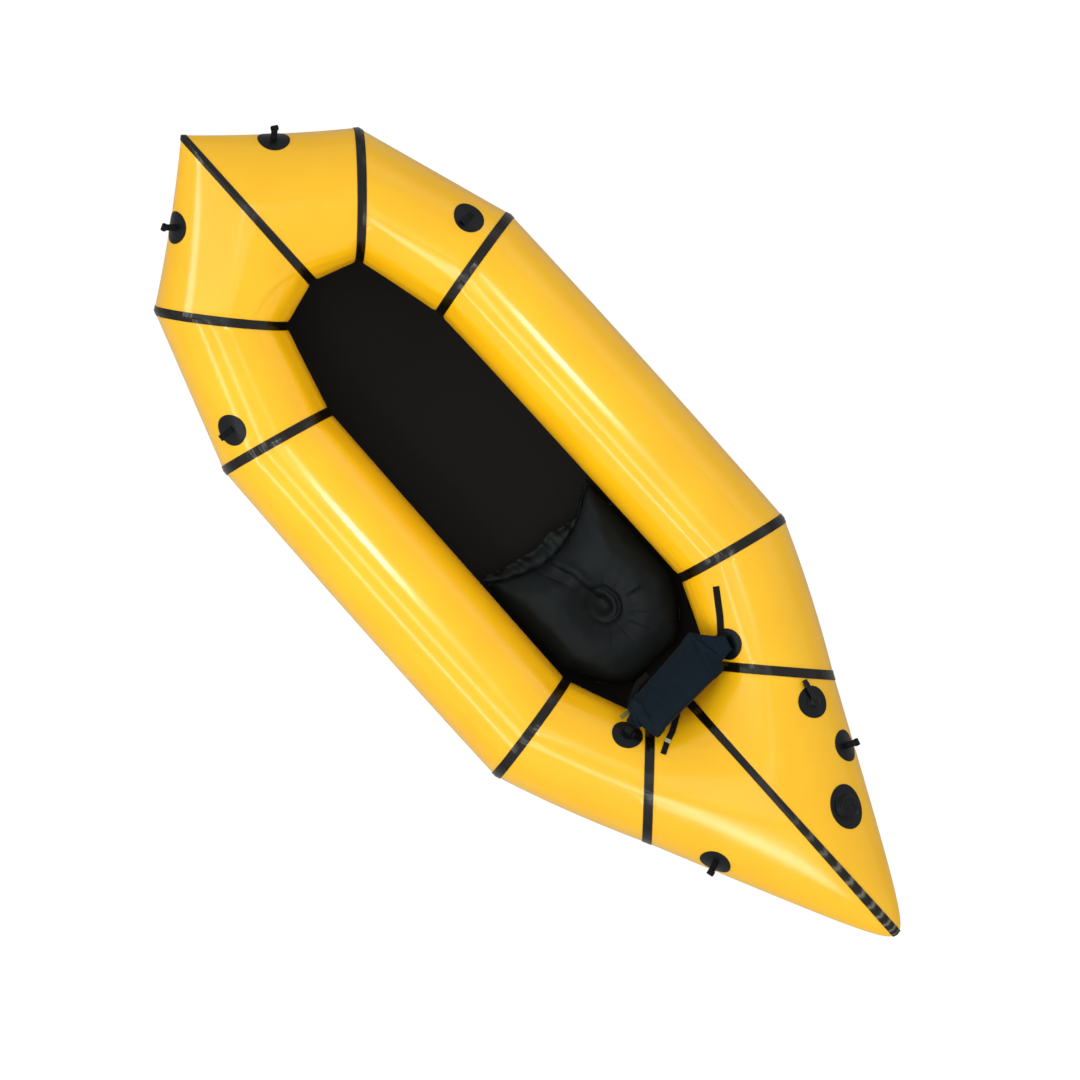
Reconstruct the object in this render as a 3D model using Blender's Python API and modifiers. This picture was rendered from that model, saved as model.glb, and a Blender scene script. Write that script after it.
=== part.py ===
# Packraft: a one-person inflatable boat, modelled as the pieces that it is glued and strapped from.
# Metres, +X to the bow, +Y to port, +Z up. The origin is on the underside of the floor, amidships.

import math

import bmesh
import bpy
from mathutils import Matrix, Vector
from mathutils.bvhtree import BVHTree

# Hull, in plan
BOW_LENGTH = 0.267              # bow tip to the outer end of the bow seam
FRONT_SHOULDER_LENGTH = 0.406   # the next seam stations follow one another along the hull
SIDE_LENGTH = 0.999
REAR_SHOULDER_LENGTH = 0.369
STERN_LENGTH = 0.571
BOW_SEAM_BEAM = 0.668           # overall widths at the outer ends of the seams
FRONT_SEAM_BEAM = 0.942
REAR_SEAM_BEAM = 0.948
STERN_SEAM_BEAM = 0.614
BOW_SEAM_CHORD = 0.323          # seam lengths across the tube, in plan
FRONT_SEAM_CHORD = 0.296
REAR_SEAM_CHORD = 0.291
STERN_SEAM_CHORD = 0.301
BOW_SEAM_SLANT = -48.5          # degrees; how far each seam turns off square across the boat
FRONT_SEAM_SLANT = -12.5
REAR_SEAM_SLANT = 11.7
STERN_SEAM_SLANT = 46.8
BOW_SEAM_LEAN = 0.0127          # how far the tops of these seams lie aft of their ends
REAR_SEAM_LEAN = 0.0037
BOW_SEAM_LENGTH = 0.471         # the two seams on the centre line, from the cockpit to the tips
STERN_SEAM_LENGTH = 0.756

# Hull, in height
TUBE_DIAMETER = 0.294
BOW_SEAM_RISE = 0.050           # how far each seam's centre lies above the side tubes' axis
BOW_INNER_RISE = 0.052
BOW_TIP_RISE = 0.190
STERN_SEAM_RISE = 0.016
STERN_INNER_RISE = 0.018
STERN_TIP_RISE = 0.110
BOW_SEAM_HEIGHT = 0.300         # tallest section of the two centre seams
STERN_SEAM_HEIGHT = 0.300
BOW_SAG = 0.008                 # the bow's outline is drawn in a little between its seams
STERN_TIP_BLUNTNESS = 0.080     # how far the stern's straight outlines would run past its rounded tip
TIP_TAPER = 0.28                # exponent that narrows the centre seams towards the tips
TIP_LIFT = 2.0                  # exponent of the rise of the centre seams towards the tips

# Fabric
TUBE_WALL = 0.0006
SEAM_ALLOWANCE = 0.0008         # how far each panel's cut edge stands back from its seam, under the tape
TAPE_WIDTH = 0.025
TAPE_THICKNESS = 0.0005
PATCH_THICKNESS = 0.0010
FLOOR_THICKNESS = 0.001
FLOOR_WRAP = 0.030              # width of floor cloth bonded up the outside of the tubes
CLEARANCE = 0.0003              # between pieces that touch on the real boat

# Mesh counts
RING_POINTS = 28
BOW_SECTIONS = 4
STERN_SECTIONS = 5
STERN_CROWDING = 1.2
ROUND_STEPS = 20

# Tie-downs
TIE_PATCH_DIAMETER = 0.080
LOOP_WIDTH = 0.016
LOOP_LENGTH = 0.038
LOOP_GAP = 0.010
LOOP_WALL = 0.0018

# Seat
SEAT_LENGTH = 0.440
SEAT_WIDTH = 0.352
SEAT_REAR_WIDTH = 0.215
SEAT_TAPER_LENGTH = 0.130       # the back end narrows with the cockpit over this length
SEAT_HEIGHT = 0.090
SEAT_EDGE_HEIGHT = 0.045
SEAT_FRONT_X = 0.024
SEAT_FRONT_CURVE = 0.074        # the front edge bows back this much at its middle
SEAT_FRONT_SLANT = 4.0          # degrees; its starboard end lies further forward
SEAT_DIMPLE_X = -0.232
SEAT_DIMPLE_DEPTH = 0.034
SEAT_DIMPLE_RADIUS = 0.050
SEAT_PUCKERS = 9
SEAT_PUCKER_DEPTH = 0.0035
SEAT_CREASE_DEPTH = 0.012
SEAT_CREASE_WIDTH = 0.030
SEAT_SECTORS = 48
SEAT_WALL = 0.001
SEAT_FRONT_CORNER = 0.006       # how far its rounded corners draw in
SEAT_REAR_CORNER = 0.050
SEAT_WAIST_SHARE = 0.985        # the side draws in to this at half its height
SEAT_FOOT_SHARE = 0.93
SEAT_VALVE_X = -0.060
SEAT_VALVE_DIAMETER = 0.013
SEAT_VALVE_BORE = 0.007
SEAT_VALVE_LENGTH = 0.016

# Backrest
BACKREST_WIDTH = 0.250
BACKREST_HEIGHT = 0.124
BACKREST_DEPTH = 0.044
BACKREST_LEAN = 50.0            # degrees back from upright
BACKREST_FORWARD = 0.008        # pad centre forward of the anchors' bars
BACKREST_DROP = 0.004           # and below them
BACKREST_COVER = 0.0012
BACKREST_MOUTH_HEIGHT = 0.050
BACKREST_MOUTH_DEPTH = 0.0082
ANCHOR_PATCH_DIAMETER = 0.078
ANCHOR_LOOP_SPAN = 0.034
ANCHOR_LOOP_HEIGHT = 0.0165
ANCHOR_LOOP_WIDTH = 0.012
STRAP_WIDTH = 0.018
STRAP_WALL = 0.0015
STRAP_ANCHOR_RADIUS = 0.0095
BUCKLE_LENGTH = 0.020
BUCKLE_WIDTH = 0.030
BUCKLE_THICKNESS = 0.0036
BUCKLE_BAR = 0.0034
TAIL_WIDTH = 0.0136
TAIL_THICKNESS = 0.0012

# Main inflation valve
MAIN_PATCH_DIAMETER = 0.112
MAIN_NECK_DIAMETER = 0.042
MAIN_BORE = 0.034
MAIN_COLLAR_DIAMETER = 0.058
MAIN_COLLAR_HEIGHT = 0.009
MAIN_NECK_DEPTH = 0.016
MAIN_FLAP_THICKNESS = 0.0015
MAIN_CAP_DIAMETER = 0.052
MAIN_CAP_THICKNESS = 0.005
MAIN_PLUG_LENGTH = 0.008

# Top-up valve
TOPUP_PATCH_DIAMETER = 0.080
TOPUP_BASE_DIAMETER = 0.034
TOPUP_BASE_HEIGHT = 0.015
TOPUP_STEM_DIAMETER = 0.0105
TOPUP_STEM_BORE = 0.0062
TOPUP_STEM_LENGTH = 0.052
TOPUP_STEM_HEADING = -12.0      # degrees in plan from the bow, to starboard
MOUTHPIECE_DIAMETER = 0.015
MOUTHPIECE_LENGTH = 0.020
POPPET_DIAMETER = 0.0044
POPPET_HEAD = 0.0080
POPPET_LENGTH = 0.014
POPPET_RECESS = 0.0012

# Places of the fittings, as a share of the panel's length and a turn round the tube in degrees:
# 0 is the cockpit side, 90 the top, 180 the outside
BOW_TIE_SHARES = (0.49, 156.0)
SHOULDER_TIE_SHARES = (0.80, 126.0)
STERN_TIE_SHARES = (0.27, 150.0)
ANCHOR_SHARES = (0.77, 52.0)
MAIN_VALVE_SHARES = (0.57, 130.0)
TOPUP_SHARES = (0.13, 122.0)
PORT_TAIL_SHARES = ((0.60, 27.0), (0.20, 56.0))
STARBOARD_TAIL_SHARES = ((0.54, 50.0), (0.22, 60.0))

# Derived sizes
HULL_LENGTH = BOW_LENGTH + FRONT_SHOULDER_LENGTH + SIDE_LENGTH + REAR_SHOULDER_LENGTH + STERN_LENGTH
RADIUS = TUBE_DIAMETER / 2
FACET_SAG = RADIUS * (1 - math.cos(math.pi / RING_POINTS))
TAPE_TOP = CLEARANCE + TAPE_THICKNESS
PATCH_TOP = CLEARANCE + PATCH_THICKNESS
SEAT_LIFT = FACET_SAG / 2        # a flat foot stands this much off the middle of a facet
FLOOR_DROP = TAPE_TOP + CLEARANCE + FACET_SAG
AXIS_HEIGHT = FLOOR_THICKNESS + FLOOR_DROP + RADIUS

PORT = 1
STARBOARD = -1
SIDES = {"port": PORT, "starboard": STARBOARD}


# Materials

def material(name, colour, roughness, metallic=0.0):
    made = bpy.data.materials.new(name)
    made.use_nodes = True
    shader = made.node_tree.nodes["Principled BSDF"]
    channels = [int(colour[i:i + 2], 16) / 255 for i in (0, 2, 4)]
    linear = [c / 12.92 if c <= 0.04045 else ((c + 0.055) / 1.055) ** 2.4 for c in channels]
    shader.inputs["Base Color"].default_value = (*linear, 1)
    shader.inputs["Roughness"].default_value = roughness
    shader.inputs["Metallic"].default_value = metallic
    made.diffuse_color = (*linear, 1)
    return made


# Modelling helpers

def add_object(name, mesh, finish, smooth=True):
    made = bpy.data.objects.new(name, mesh)
    boat.objects.link(made)
    mesh.materials.append(finish)
    if smooth:
        mesh.shade_smooth()
        mesh.set_sharp_from_angle(angle=math.radians(35))
    return made


def mesh_from(name, points, faces):
    mesh = bpy.data.meshes.new(name)
    mesh.from_pydata([tuple(p) for p in points], [], faces)
    mesh.validate()
    return mesh


def loft(rings):
    """Points and faces of the open skin through closed rings of equal count, facing away from their middle."""
    count = len(rings[0])
    points = [point for ring in rings for point in ring]
    faces = []
    for row in range(len(rings) - 1):
        axis = sum(rings[row] + rings[row + 1], Vector()) / (2 * count)
        for k in range(count):
            nxt = (k + 1) % count
            a, b, c, d = row * count + k, row * count + nxt, (row + 1) * count + nxt, (row + 1) * count + k
            # split each quad along the diagonal that bulges, whichever way the rings run
            if ((points[a] + points[c]) / 2 - axis).length > ((points[b] + points[d]) / 2 - axis).length:
                faces += [(a, b, c), (a, c, d)]
            else:
                faces += [(a, b, d), (b, c, d)]
    middle = sum(rings[0], Vector()) / count
    edge_one = points[1] - points[0]
    edge_two = points[count] - points[0]
    if edge_one.cross(edge_two).dot(points[0] - middle) < 0:
        faces = [face[::-1] for face in faces]
    return points, faces


def raised(points, faces, distance):
    """The same points, moved out along their vertex normals."""
    mesh = mesh_from("raised", points, faces)
    normals = [vertex.normal.copy() for vertex in mesh.vertices]
    bpy.data.meshes.remove(mesh)
    return [Vector(p) + n * distance for p, n in zip(points, normals)]


def thicken(target, thickness, outward):
    shell = target.modifiers.new("Wall", "SOLIDIFY")
    shell.thickness = thickness
    shell.offset = outward
    shell.use_even_offset = True
    return shell


def cut(target, cutter, operation="DIFFERENCE"):
    change = target.modifiers.new("Cut", "BOOLEAN")
    change.operation = operation
    change.object = cutter


def cylinder_tool(name, frame, radius, low, high, steps=ROUND_STEPS):
    """A hidden cutter along a frame's Z axis."""
    mesh = bpy.data.meshes.new(name)
    shape = bmesh.new()
    bmesh.ops.create_cone(shape, cap_ends=True, segments=steps, radius1=radius, radius2=radius, depth=high - low,
                          matrix=Matrix.Translation((0, 0, (low + high) / 2)))
    shape.to_mesh(mesh)
    shape.free()
    tool = bpy.data.objects.new(name, mesh)
    cutters.objects.link(tool)
    tool.matrix_world = frame
    tool.hide_render = True
    tool.display_type = "WIRE"
    return tool


def turned(name, profile, frame, finish, closed=True, steps=ROUND_STEPS):
    """A Screw round the frame's Z axis of (radius, height) points that run down the outer side."""
    mesh = bpy.data.meshes.new(name)
    count = len(profile)
    edges = [(k, k + 1) for k in range(count - 1)]
    if closed:
        edges.append((count - 1, 0))
    mesh.from_pydata([(r, 0, z) for r, z in profile], edges, [])
    made = add_object(name, mesh, finish, smooth=False)
    made.matrix_world = frame
    spin = made.modifiers.new("Turn", "SCREW")
    spin.steps = steps
    spin.render_steps = steps
    spin.use_merge_vertices = True
    spin.merge_threshold = CLEARANCE / 30
    spin.use_smooth_shade = True
    return made


def belt(name, outline, width, wall, frame, finish):
    """Webbing: a closed outline in the frame's XZ plane, drawn out along Y and given a wall."""
    count = len(outline)
    points = [Vector((x, side * width / 2, z)) for side in (-1, 1) for x, z in outline]
    faces = [(k, (k + 1) % count, count + (k + 1) % count, count + k) for k in range(count)]
    made = add_object(name, mesh_from(name, points, faces), finish)
    made.matrix_world = frame
    thicken(made, wall, 0)
    return made


def pulley_outline(radius_low, radius_high, distance, steps=8):
    """The outline of a belt round two circles: one at the origin, one at +Z distance."""
    lean = math.asin((radius_low - radius_high) / distance)
    outline = []
    for k in range(steps + 1):
        turn = math.pi - lean + (math.pi + 2 * lean) * k / steps
        outline.append((radius_low * math.cos(turn), radius_low * math.sin(turn)))
    for k in range(steps + 1):
        turn = lean + (math.pi - 2 * lean) * k / steps
        outline.append((radius_high * math.cos(turn), distance + radius_high * math.sin(turn)))
    return outline


def frame_from(origin, x_axis, y_axis, z_axis):
    frame = Matrix((x_axis, y_axis, z_axis)).transposed().to_4x4()
    frame.translation = origin
    return frame


# Hull surface: seam rings, and the panels between them

def seam_ring(station, beam, chord, slant, rise, lean=0.0):
    """A mitre seam of the port side: an oval from its cockpit end to its outer end, its top leaning aft."""
    outer = Vector((station, beam / 2, AXIS_HEIGHT + rise))
    angle = math.radians(slant)
    across = Vector((math.sin(angle), -math.cos(angle), 0)) * chord
    up = Vector((-math.cos(angle) * lean, -math.sin(angle) * lean, RADIUS))
    ring = []
    for k in range(RING_POINTS):
        turn = 2 * math.pi * k / RING_POINTS
        reach = (1 - math.cos(turn)) / 2
        ring.append(outer + across * (1 - reach) + up * math.sin(turn))
    return ring


def centre_ring(tip, length, direction, height, inner_rise, tip_rise):
    """A seam on the centre line: a teardrop that narrows and lifts from the cockpit to the tip."""
    widest = 0.5 / (1 + TIP_TAPER)
    peak = 2 * math.sqrt(widest * (1 - widest)) * (1 - widest) ** TIP_TAPER
    ring = []
    for k in range(RING_POINTS):
        turn = 2 * math.pi * k / RING_POINTS
        reach = (1 - math.cos(turn)) / 2
        middle = AXIS_HEIGHT + inner_rise + (tip_rise - inner_rise) * reach ** TIP_LIFT
        half = height / 2 * math.sin(turn) * (1 - reach) ** TIP_TAPER / peak
        ring.append(Vector((tip - direction * length * (1 - reach), 0, middle + half)))
    return ring


def hull_rings():
    """The port side's six seams, bow to stern."""
    bow_tip = HULL_LENGTH / 2
    station = bow_tip - BOW_LENGTH
    rings = [centre_ring(bow_tip, BOW_SEAM_LENGTH, 1, BOW_SEAM_HEIGHT, BOW_INNER_RISE, BOW_TIP_RISE)]
    rings.append(seam_ring(station, BOW_SEAM_BEAM, BOW_SEAM_CHORD, BOW_SEAM_SLANT, BOW_SEAM_RISE, BOW_SEAM_LEAN))
    station -= FRONT_SHOULDER_LENGTH
    rings.append(seam_ring(station, FRONT_SEAM_BEAM, FRONT_SEAM_CHORD, FRONT_SEAM_SLANT, 0))
    station -= SIDE_LENGTH
    rings.append(seam_ring(station, REAR_SEAM_BEAM, REAR_SEAM_CHORD, REAR_SEAM_SLANT, 0, REAR_SEAM_LEAN))
    station -= REAR_SHOULDER_LENGTH
    rings.append(seam_ring(station, STERN_SEAM_BEAM, STERN_SEAM_CHORD, STERN_SEAM_SLANT, STERN_SEAM_RISE))
    rings.append(centre_ring(-bow_tip, STERN_SEAM_LENGTH, -1, STERN_SEAM_HEIGHT, STERN_INNER_RISE, STERN_TIP_RISE))
    return rings


def panel_ring(panel, share):
    """The section of a port panel at a share of its length, from its bow end."""
    first, last = SEAMS[panel], SEAMS[panel + 1]
    ring = []
    for k in range(RING_POINTS):
        reach = (1 - math.cos(2 * math.pi * k / RING_POINTS)) / 2
        point = first[k].lerp(last[k], share)
        if panel == 0:
            point.x -= BOW_SAG * 4 * share * (1 - share) * reach
        if panel == 4:
            point.x -= stern_rounding(share) * reach ** 2
        ring.append(point)
    return ring


def stern_rounding(share):
    """How far a rounded stern outline lies outside the straight one from its seam to its tip."""
    far = STERN_LENGTH + STERN_TIP_BLUNTNESS
    slope = math.sqrt(far ** 2 - STERN_TIP_BLUNTNESS ** 2)
    along = far - math.sqrt((slope * (1 - share)) ** 2 + STERN_TIP_BLUNTNESS ** 2)
    return along - STERN_LENGTH * share


def mirrored(points, side):
    return [Vector((p.x, p.y * side, p.z)) for p in points]


PANELS = ("bow", "front_shoulder", "side", "rear_shoulder", "stern")
SECTIONS = (BOW_SECTIONS, 1, 1, 1, STERN_SECTIONS)
SEAMS = hull_rings()


def panel_sections(panel):
    """Shares of a panel's sections; the stern's crowd towards its rounded tip."""
    count = SECTIONS[panel]
    if panel == 4:
        return [1 - (1 - k / count) ** STERN_CROWDING for k in range(count + 1)]
    return [k / count for k in range(count + 1)]


def toward(ring, target, distance):
    return [p + (q - p).normalized() * distance for p, q in zip(ring, target)]


def panel_skin(panel, side, raise_by=0.0):
    rings = [panel_ring(panel, share) for share in panel_sections(panel)]
    # each end stops short of its seam, and has a section of its own under the edge of the tape
    first = toward(rings[0], rings[1], TAPE_WIDTH / 2)
    last = toward(rings[-1], rings[-2], TAPE_WIDTH / 2)
    ends = toward(rings[0], rings[1], SEAM_ALLOWANCE), toward(rings[-1], rings[-2], SEAM_ALLOWANCE)
    rings = [ends[0], first] + rings[1:-1] + [last, ends[1]]
    points, faces = loft([mirrored(ring, side) for ring in rings])
    if raise_by:
        points = raised(points, faces, raise_by)
    return points, faces


def facet_frame(panel, side, share, turn):
    """A frame seated on a panel's facets: X along the panel aft, Y round it, Z out of it."""
    def smooth_point(share, turn):
        exact = math.radians(turn) / (2 * math.pi) * RING_POINTS
        low = math.floor(exact) % RING_POINTS
        ring = panel_ring(panel, share)
        return ring[low].lerp(ring[(low + 1) % RING_POINTS], exact - math.floor(exact))
    small = 0.01
    along = smooth_point(share + small, turn) - smooth_point(share - small, turn)
    step = 180 / RING_POINTS
    round_tube = smooth_point(share, turn + step) - smooth_point(share, turn - step)
    along.normalize()
    out = round_tube.cross(along).normalized()
    centre = sum(panel_ring(panel, share), Vector()) / RING_POINTS
    if out.dot(smooth_point(share, turn) - centre) < 0:
        out = -out
    place = smooth_point(share, turn)
    place.y *= side
    along.y *= side
    out.y *= side
    points, faces = panel_skin(panel, side)
    tree = BVHTree.FromPolygons(points, faces)
    hit = tree.ray_cast(place + out * RADIUS / 2, -out)[0]
    return frame_from(hit, along, out.cross(along), out)


# Tubes and tapes

def build_tubes():
    for side_name, side in SIDES.items():
        for panel, panel_name in enumerate(PANELS):
            name = f"{panel_name}_tube_{side_name}"
            points, faces = panel_skin(panel, side)
            tube = add_object(name, mesh_from(name, points, faces), yellow_fabric)
            thicken(tube, TUBE_WALL, -1)
            if name == "stern_tube_starboard":
                cut(tube, cylinder_tool("main_valve_hole", main_valve_frame(),
                                        MAIN_NECK_DIAMETER / 2 + CLEARANCE, -RADIUS / 2, RADIUS / 2))


def tape_ring(panel, end, side):
    """The edge of a tape: half its width along the panel from the seam at the panel's bow (0) or stern (1) end."""
    shares = panel_sections(panel)
    seam = panel_ring(panel, end)
    inward = panel_ring(panel, shares[1] if end == 0 else shares[-2])
    return mirrored(toward(seam, inward, TAPE_WIDTH / 2), side)


def build_tape(name, rings):
    points, faces = loft(rings)
    points = raised(points, faces, CLEARANCE)
    tape = add_object(name, mesh_from(name, points, faces), black_tape)
    thicken(tape, TAPE_THICKNESS, 1)


def build_tapes():
    build_tape("bow_centre_tape", [tape_ring(0, 0, PORT), SEAMS[0], tape_ring(0, 0, STARBOARD)])
    build_tape("stern_centre_tape", [tape_ring(4, 1, PORT), SEAMS[5], tape_ring(4, 1, STARBOARD)])
    seam_names = ("bow_seam", "front_seam", "rear_seam", "stern_seam")
    for side_name, side in SIDES.items():
        for number, seam_name in enumerate(seam_names):
            seam = mirrored(SEAMS[number + 1], side)
            build_tape(f"{seam_name}_tape_{side_name}",
                       [tape_ring(number, 1, side), seam, tape_ring(number + 1, 0, side)])


# Floor

def lowest_line():
    """The port tubes' bonding line, bow to stern, as points on their underside."""
    bottom = RING_POINTS * 3 // 4
    line = []
    shift = {0: 2, 5: 2}
    for panel in range(5):
        shares = (0, 0.5) if panel in (0, 1, 3, 4) else (0, 0.25, 0.5, 0.75)
        for share in shares:
            start = shift.get(panel, 0) * (1 - share)
            end = shift.get(panel + 1, 0) * share
            index = bottom + start + end
            ring = panel_ring(panel, share)
            low = math.floor(index)
            line.append(ring[low].lerp(ring[(low + 1) % RING_POINTS], index - low))
    line.append(SEAMS[5][bottom + shift[5]])
    return line


def build_floor():
    trees = []
    for side in SIDES.values():
        trees += [BVHTree.FromPolygons(*panel_skin(panel, side)) for panel in range(5)]

    def underside(x, y, fallback):
        start, lower_half = Vector((x, y, -RADIUS)), RADIUS + AXIS_HEIGHT
        hits = [tree.ray_cast(start, Vector((0, 0, 1)), lower_half)[0] for tree in trees]
        heights = [hit.z for hit in hits if hit is not None]
        return (min(heights) if heights else fallback) - FLOOR_DROP

    line = lowest_line()
    count = len(line)
    loop = line + [Vector((p.x, -p.y, p.z)) for p in reversed(line[1:-1])]
    total = len(loop)
    rows = [[Vector((p.x, p.y, p.z - FLOOR_DROP)) for p in loop]]
    for reach in (FLOOR_WRAP / 2, FLOOR_WRAP):
        row = []
        for k, p in enumerate(loop):
            run = loop[(k + 1) % total] - loop[k - 1]
            out = Vector((run.y, -run.x, 0)).normalized()
            if k in (0, count - 1):
                out = Vector((math.copysign(1, p.x), 0, 0))
            elif out.y * p.y < 0:
                out = -out
            x, y = p.x + out.x * reach, p.y + out.y * reach
            row.append(Vector((x, y, underside(x, y, p.z))))
        rows.append(row)
    points = [p for row in rows for p in row]
    faces = []
    for row in range(2):
        for k in range(total):
            nxt = (k + 1) % total
            faces.append((row * total + k, row * total + nxt, (row + 1) * total + nxt, (row + 1) * total + k))
    for k in range(count - 1):
        mirror_here, mirror_next = (total - k) % total, total - k - 1
        corners = [k, k + 1, mirror_next, mirror_here]
        faces.append(tuple(dict.fromkeys(corners)))
    mesh = mesh_from("floor_sheet", points, faces)
    shape = bmesh.new()
    shape.from_mesh(mesh)
    bmesh.ops.recalc_face_normals(shape, faces=shape.faces)
    if max(shape.faces, key=lambda face: face.calc_area()).normal.z < 0:
        bmesh.ops.reverse_faces(shape, faces=shape.faces)
    shape.to_mesh(mesh)
    shape.free()
    floor = add_object("floor_sheet", mesh, black_floor)
    thicken(floor, FLOOR_THICKNESS, -1)


# Patches and webbing loops

def build_patch(name, panel, side, shares, diameter, hole=0.0, thickness=PATCH_THICKNESS):
    """A round of fabric bonded to a tube: the tube's own skin, raised, and cut round."""
    frame = facet_frame(panel, side, *shares)
    points, faces = panel_skin(panel, side, CLEARANCE)
    patch = add_object(name, mesh_from(name, points, faces), black_patch)
    thicken(patch, thickness, 1)
    cut(patch, cylinder_tool(name + "_edge", frame, diameter / 2, -RADIUS / 4, RADIUS / 4, 32), "INTERSECT")
    if hole:
        cut(patch, cylinder_tool(name + "_hole", frame, hole / 2, -RADIUS / 2, RADIUS / 2))
    return frame


def loop_frame(frame, hole, lean):
    """A webbing loop's frame: Y along the hole in it, Z the way that the loop points, the origin on its hinge."""
    out = frame.to_3x3() @ Vector((0, 0, 1))
    width = (hole - out * hole.dot(out)).normalized()
    root = PATCH_TOP + SEAT_LIFT + LOOP_GAP / 2 + LOOP_WALL
    upright = frame_from(frame.translation + out * root, width.cross(out), width, out)
    return upright @ Matrix.Rotation(math.radians(lean), 4, "Y")


# Panel, place, the way that the hole of the loop faces, and how far each loop leans from upright in degrees
TIES = {
    "bow_tie": (0, BOW_TIE_SHARES, Vector((0, 1, 0)), {"port": 0, "starboard": 0}),
    "shoulder_tie": (1, SHOULDER_TIE_SHARES, Vector((1, 0, 0)), {"port": -35, "starboard": -84}),
    "stern_tie": (4, STERN_TIE_SHARES, Vector((1, 0, 0)), {"port": 0, "starboard": 0}),
}


def build_ties():
    outline = pulley_outline((LOOP_GAP + LOOP_WALL) / 2, (LOOP_GAP + LOOP_WALL) / 2,
                             LOOP_LENGTH - LOOP_GAP - LOOP_WALL * 2)
    for tie_name, (panel, shares, hole, leans) in TIES.items():
        for side_name, side in SIDES.items():
            frame = build_patch(f"{tie_name}_patch_{side_name}", panel, side, shares, TIE_PATCH_DIAMETER)
            belt(f"{tie_name}_loop_{side_name}", outline, LOOP_WIDTH, LOOP_WALL,
                 loop_frame(frame, hole, leans[side_name]), webbing)


# Seat

def seat_half_width(x):
    """Half the seat's width at a distance x behind its front."""
    taper_start = SEAT_LENGTH - SEAT_TAPER_LENGTH
    if x <= taper_start:
        return SEAT_WIDTH / 2
    share = (x - taper_start) / SEAT_TAPER_LENGTH
    return SEAT_WIDTH / 2 + (SEAT_REAR_WIDTH - SEAT_WIDTH) / 2 * share


def seat_outline_point(turn):
    """Where a ray from the dimple meets the seat's outline."""
    centre = Vector((SEAT_DIMPLE_X, 0))
    way = Vector((math.cos(turn), math.sin(turn)))
    low, high = 0.0, SEAT_LENGTH
    for _ in range(30):
        reach = (low + high) / 2
        point = centre + way * reach
        back = SEAT_FRONT_X - point.x
        half = seat_half_width(back)
        slant = point.y * math.tan(math.radians(SEAT_FRONT_SLANT))
        bow_back = SEAT_FRONT_CURVE * (1 - (2 * point.y / SEAT_WIDTH) ** 2) + slant
        corner = min(1, max(0, (abs(point.y) / half - 0.6) / 0.4)) ** 3 if half else 1
        between = bow_back + SEAT_FRONT_CORNER * corner < back < SEAT_LENGTH - SEAT_REAR_CORNER * corner
        if abs(point.y) < half and between:
            low = reach
        else:
            high = reach
    return low


def seat_height(distance, share, turn):
    """Height of the seat's top at a distance from the dimple, at a share of the way to the edge."""
    crown = SEAT_EDGE_HEIGHT + (SEAT_HEIGHT - SEAT_EDGE_HEIGHT) * (1 - share ** 3)
    dimple = SEAT_DIMPLE_DEPTH * math.exp(-(distance / SEAT_DIMPLE_RADIUS) ** 2)
    pucker_band = math.exp(-((distance - 1.6 * SEAT_DIMPLE_RADIUS) / (0.7 * SEAT_DIMPLE_RADIUS)) ** 2)
    puckers = SEAT_PUCKER_DEPTH * pucker_band * (0.5 + 0.5 * math.cos(SEAT_PUCKERS * turn))
    side_step = distance * math.sin(turn)
    ahead = math.cos(turn) > 0
    crease = SEAT_CREASE_DEPTH * math.exp(-(side_step / SEAT_CREASE_WIDTH) ** 2) * share if ahead else 0
    return crown - dimple - puckers - crease


def floor_top(x):
    """Height of the floor cloth's upper face on the centre line."""
    bottom = RING_POINTS * 3 // 4
    line = [ring[bottom] for ring in SEAMS[1:5]]
    for ahead, behind in zip(line, line[1:]):
        if behind.x <= x <= ahead.x:
            share = (x - behind.x) / (ahead.x - behind.x)
            return behind.z + (ahead.z - behind.z) * share - FLOOR_DROP
    return FLOOR_THICKNESS


def build_seat():
    base = FLOOR_THICKNESS + CLEARANCE
    shares = (0.0, 0.1, 0.2, 0.3, 0.42, 0.56, 0.7, 0.82, 0.91, 0.97, 1.0)
    points = [Vector((SEAT_DIMPLE_X, 0, base + seat_height(0, 0, 0)))]
    for share in shares[1:]:
        for k in range(SEAT_SECTORS):
            turn = 2 * math.pi * k / SEAT_SECTORS
            reach = seat_outline_point(turn) * share
            points.append(Vector((SEAT_DIMPLE_X + reach * math.cos(turn), reach * math.sin(turn),
                                  base + seat_height(reach, share, turn))))
    # drawn-in lower side, then the bottom
    for inset, height in ((SEAT_WAIST_SHARE, SEAT_EDGE_HEIGHT / 2), (SEAT_FOOT_SHARE, 0.0)):
        for k in range(SEAT_SECTORS):
            turn = 2 * math.pi * k / SEAT_SECTORS
            reach = seat_outline_point(turn) * inset
            x = SEAT_DIMPLE_X + reach * math.cos(turn)
            points.append(Vector((x, reach * math.sin(turn), floor_top(x) + CLEARANCE + height)))
    faces = [(0, 1 + k, 1 + (k + 1) % SEAT_SECTORS) for k in range(SEAT_SECTORS)]
    rows = len(shares) + 1
    for row in range(rows - 1):
        low = 1 + row * SEAT_SECTORS
        for k in range(SEAT_SECTORS):
            nxt = (k + 1) % SEAT_SECTORS
            faces.append((low + k, low + SEAT_SECTORS + k, low + SEAT_SECTORS + nxt, low + nxt))
    low = 1 + (rows - 1) * SEAT_SECTORS
    points.append(Vector((SEAT_DIMPLE_X, 0, base)))
    faces += [(low + (k + 1) % SEAT_SECTORS, low + k, len(points) - 1) for k in range(SEAT_SECTORS)]
    seat = add_object("seat_cushion", mesh_from("seat_cushion", points, faces), seat_fabric)
    thicken(seat, SEAT_WALL, -1)
    cut(seat, cylinder_tool("seat_valve_hole", seat_valve_frame(), SEAT_VALVE_BORE / 2,
                            -SEAT_VALVE_LENGTH, SEAT_VALVE_LENGTH, 12))


# Backrest

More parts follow.
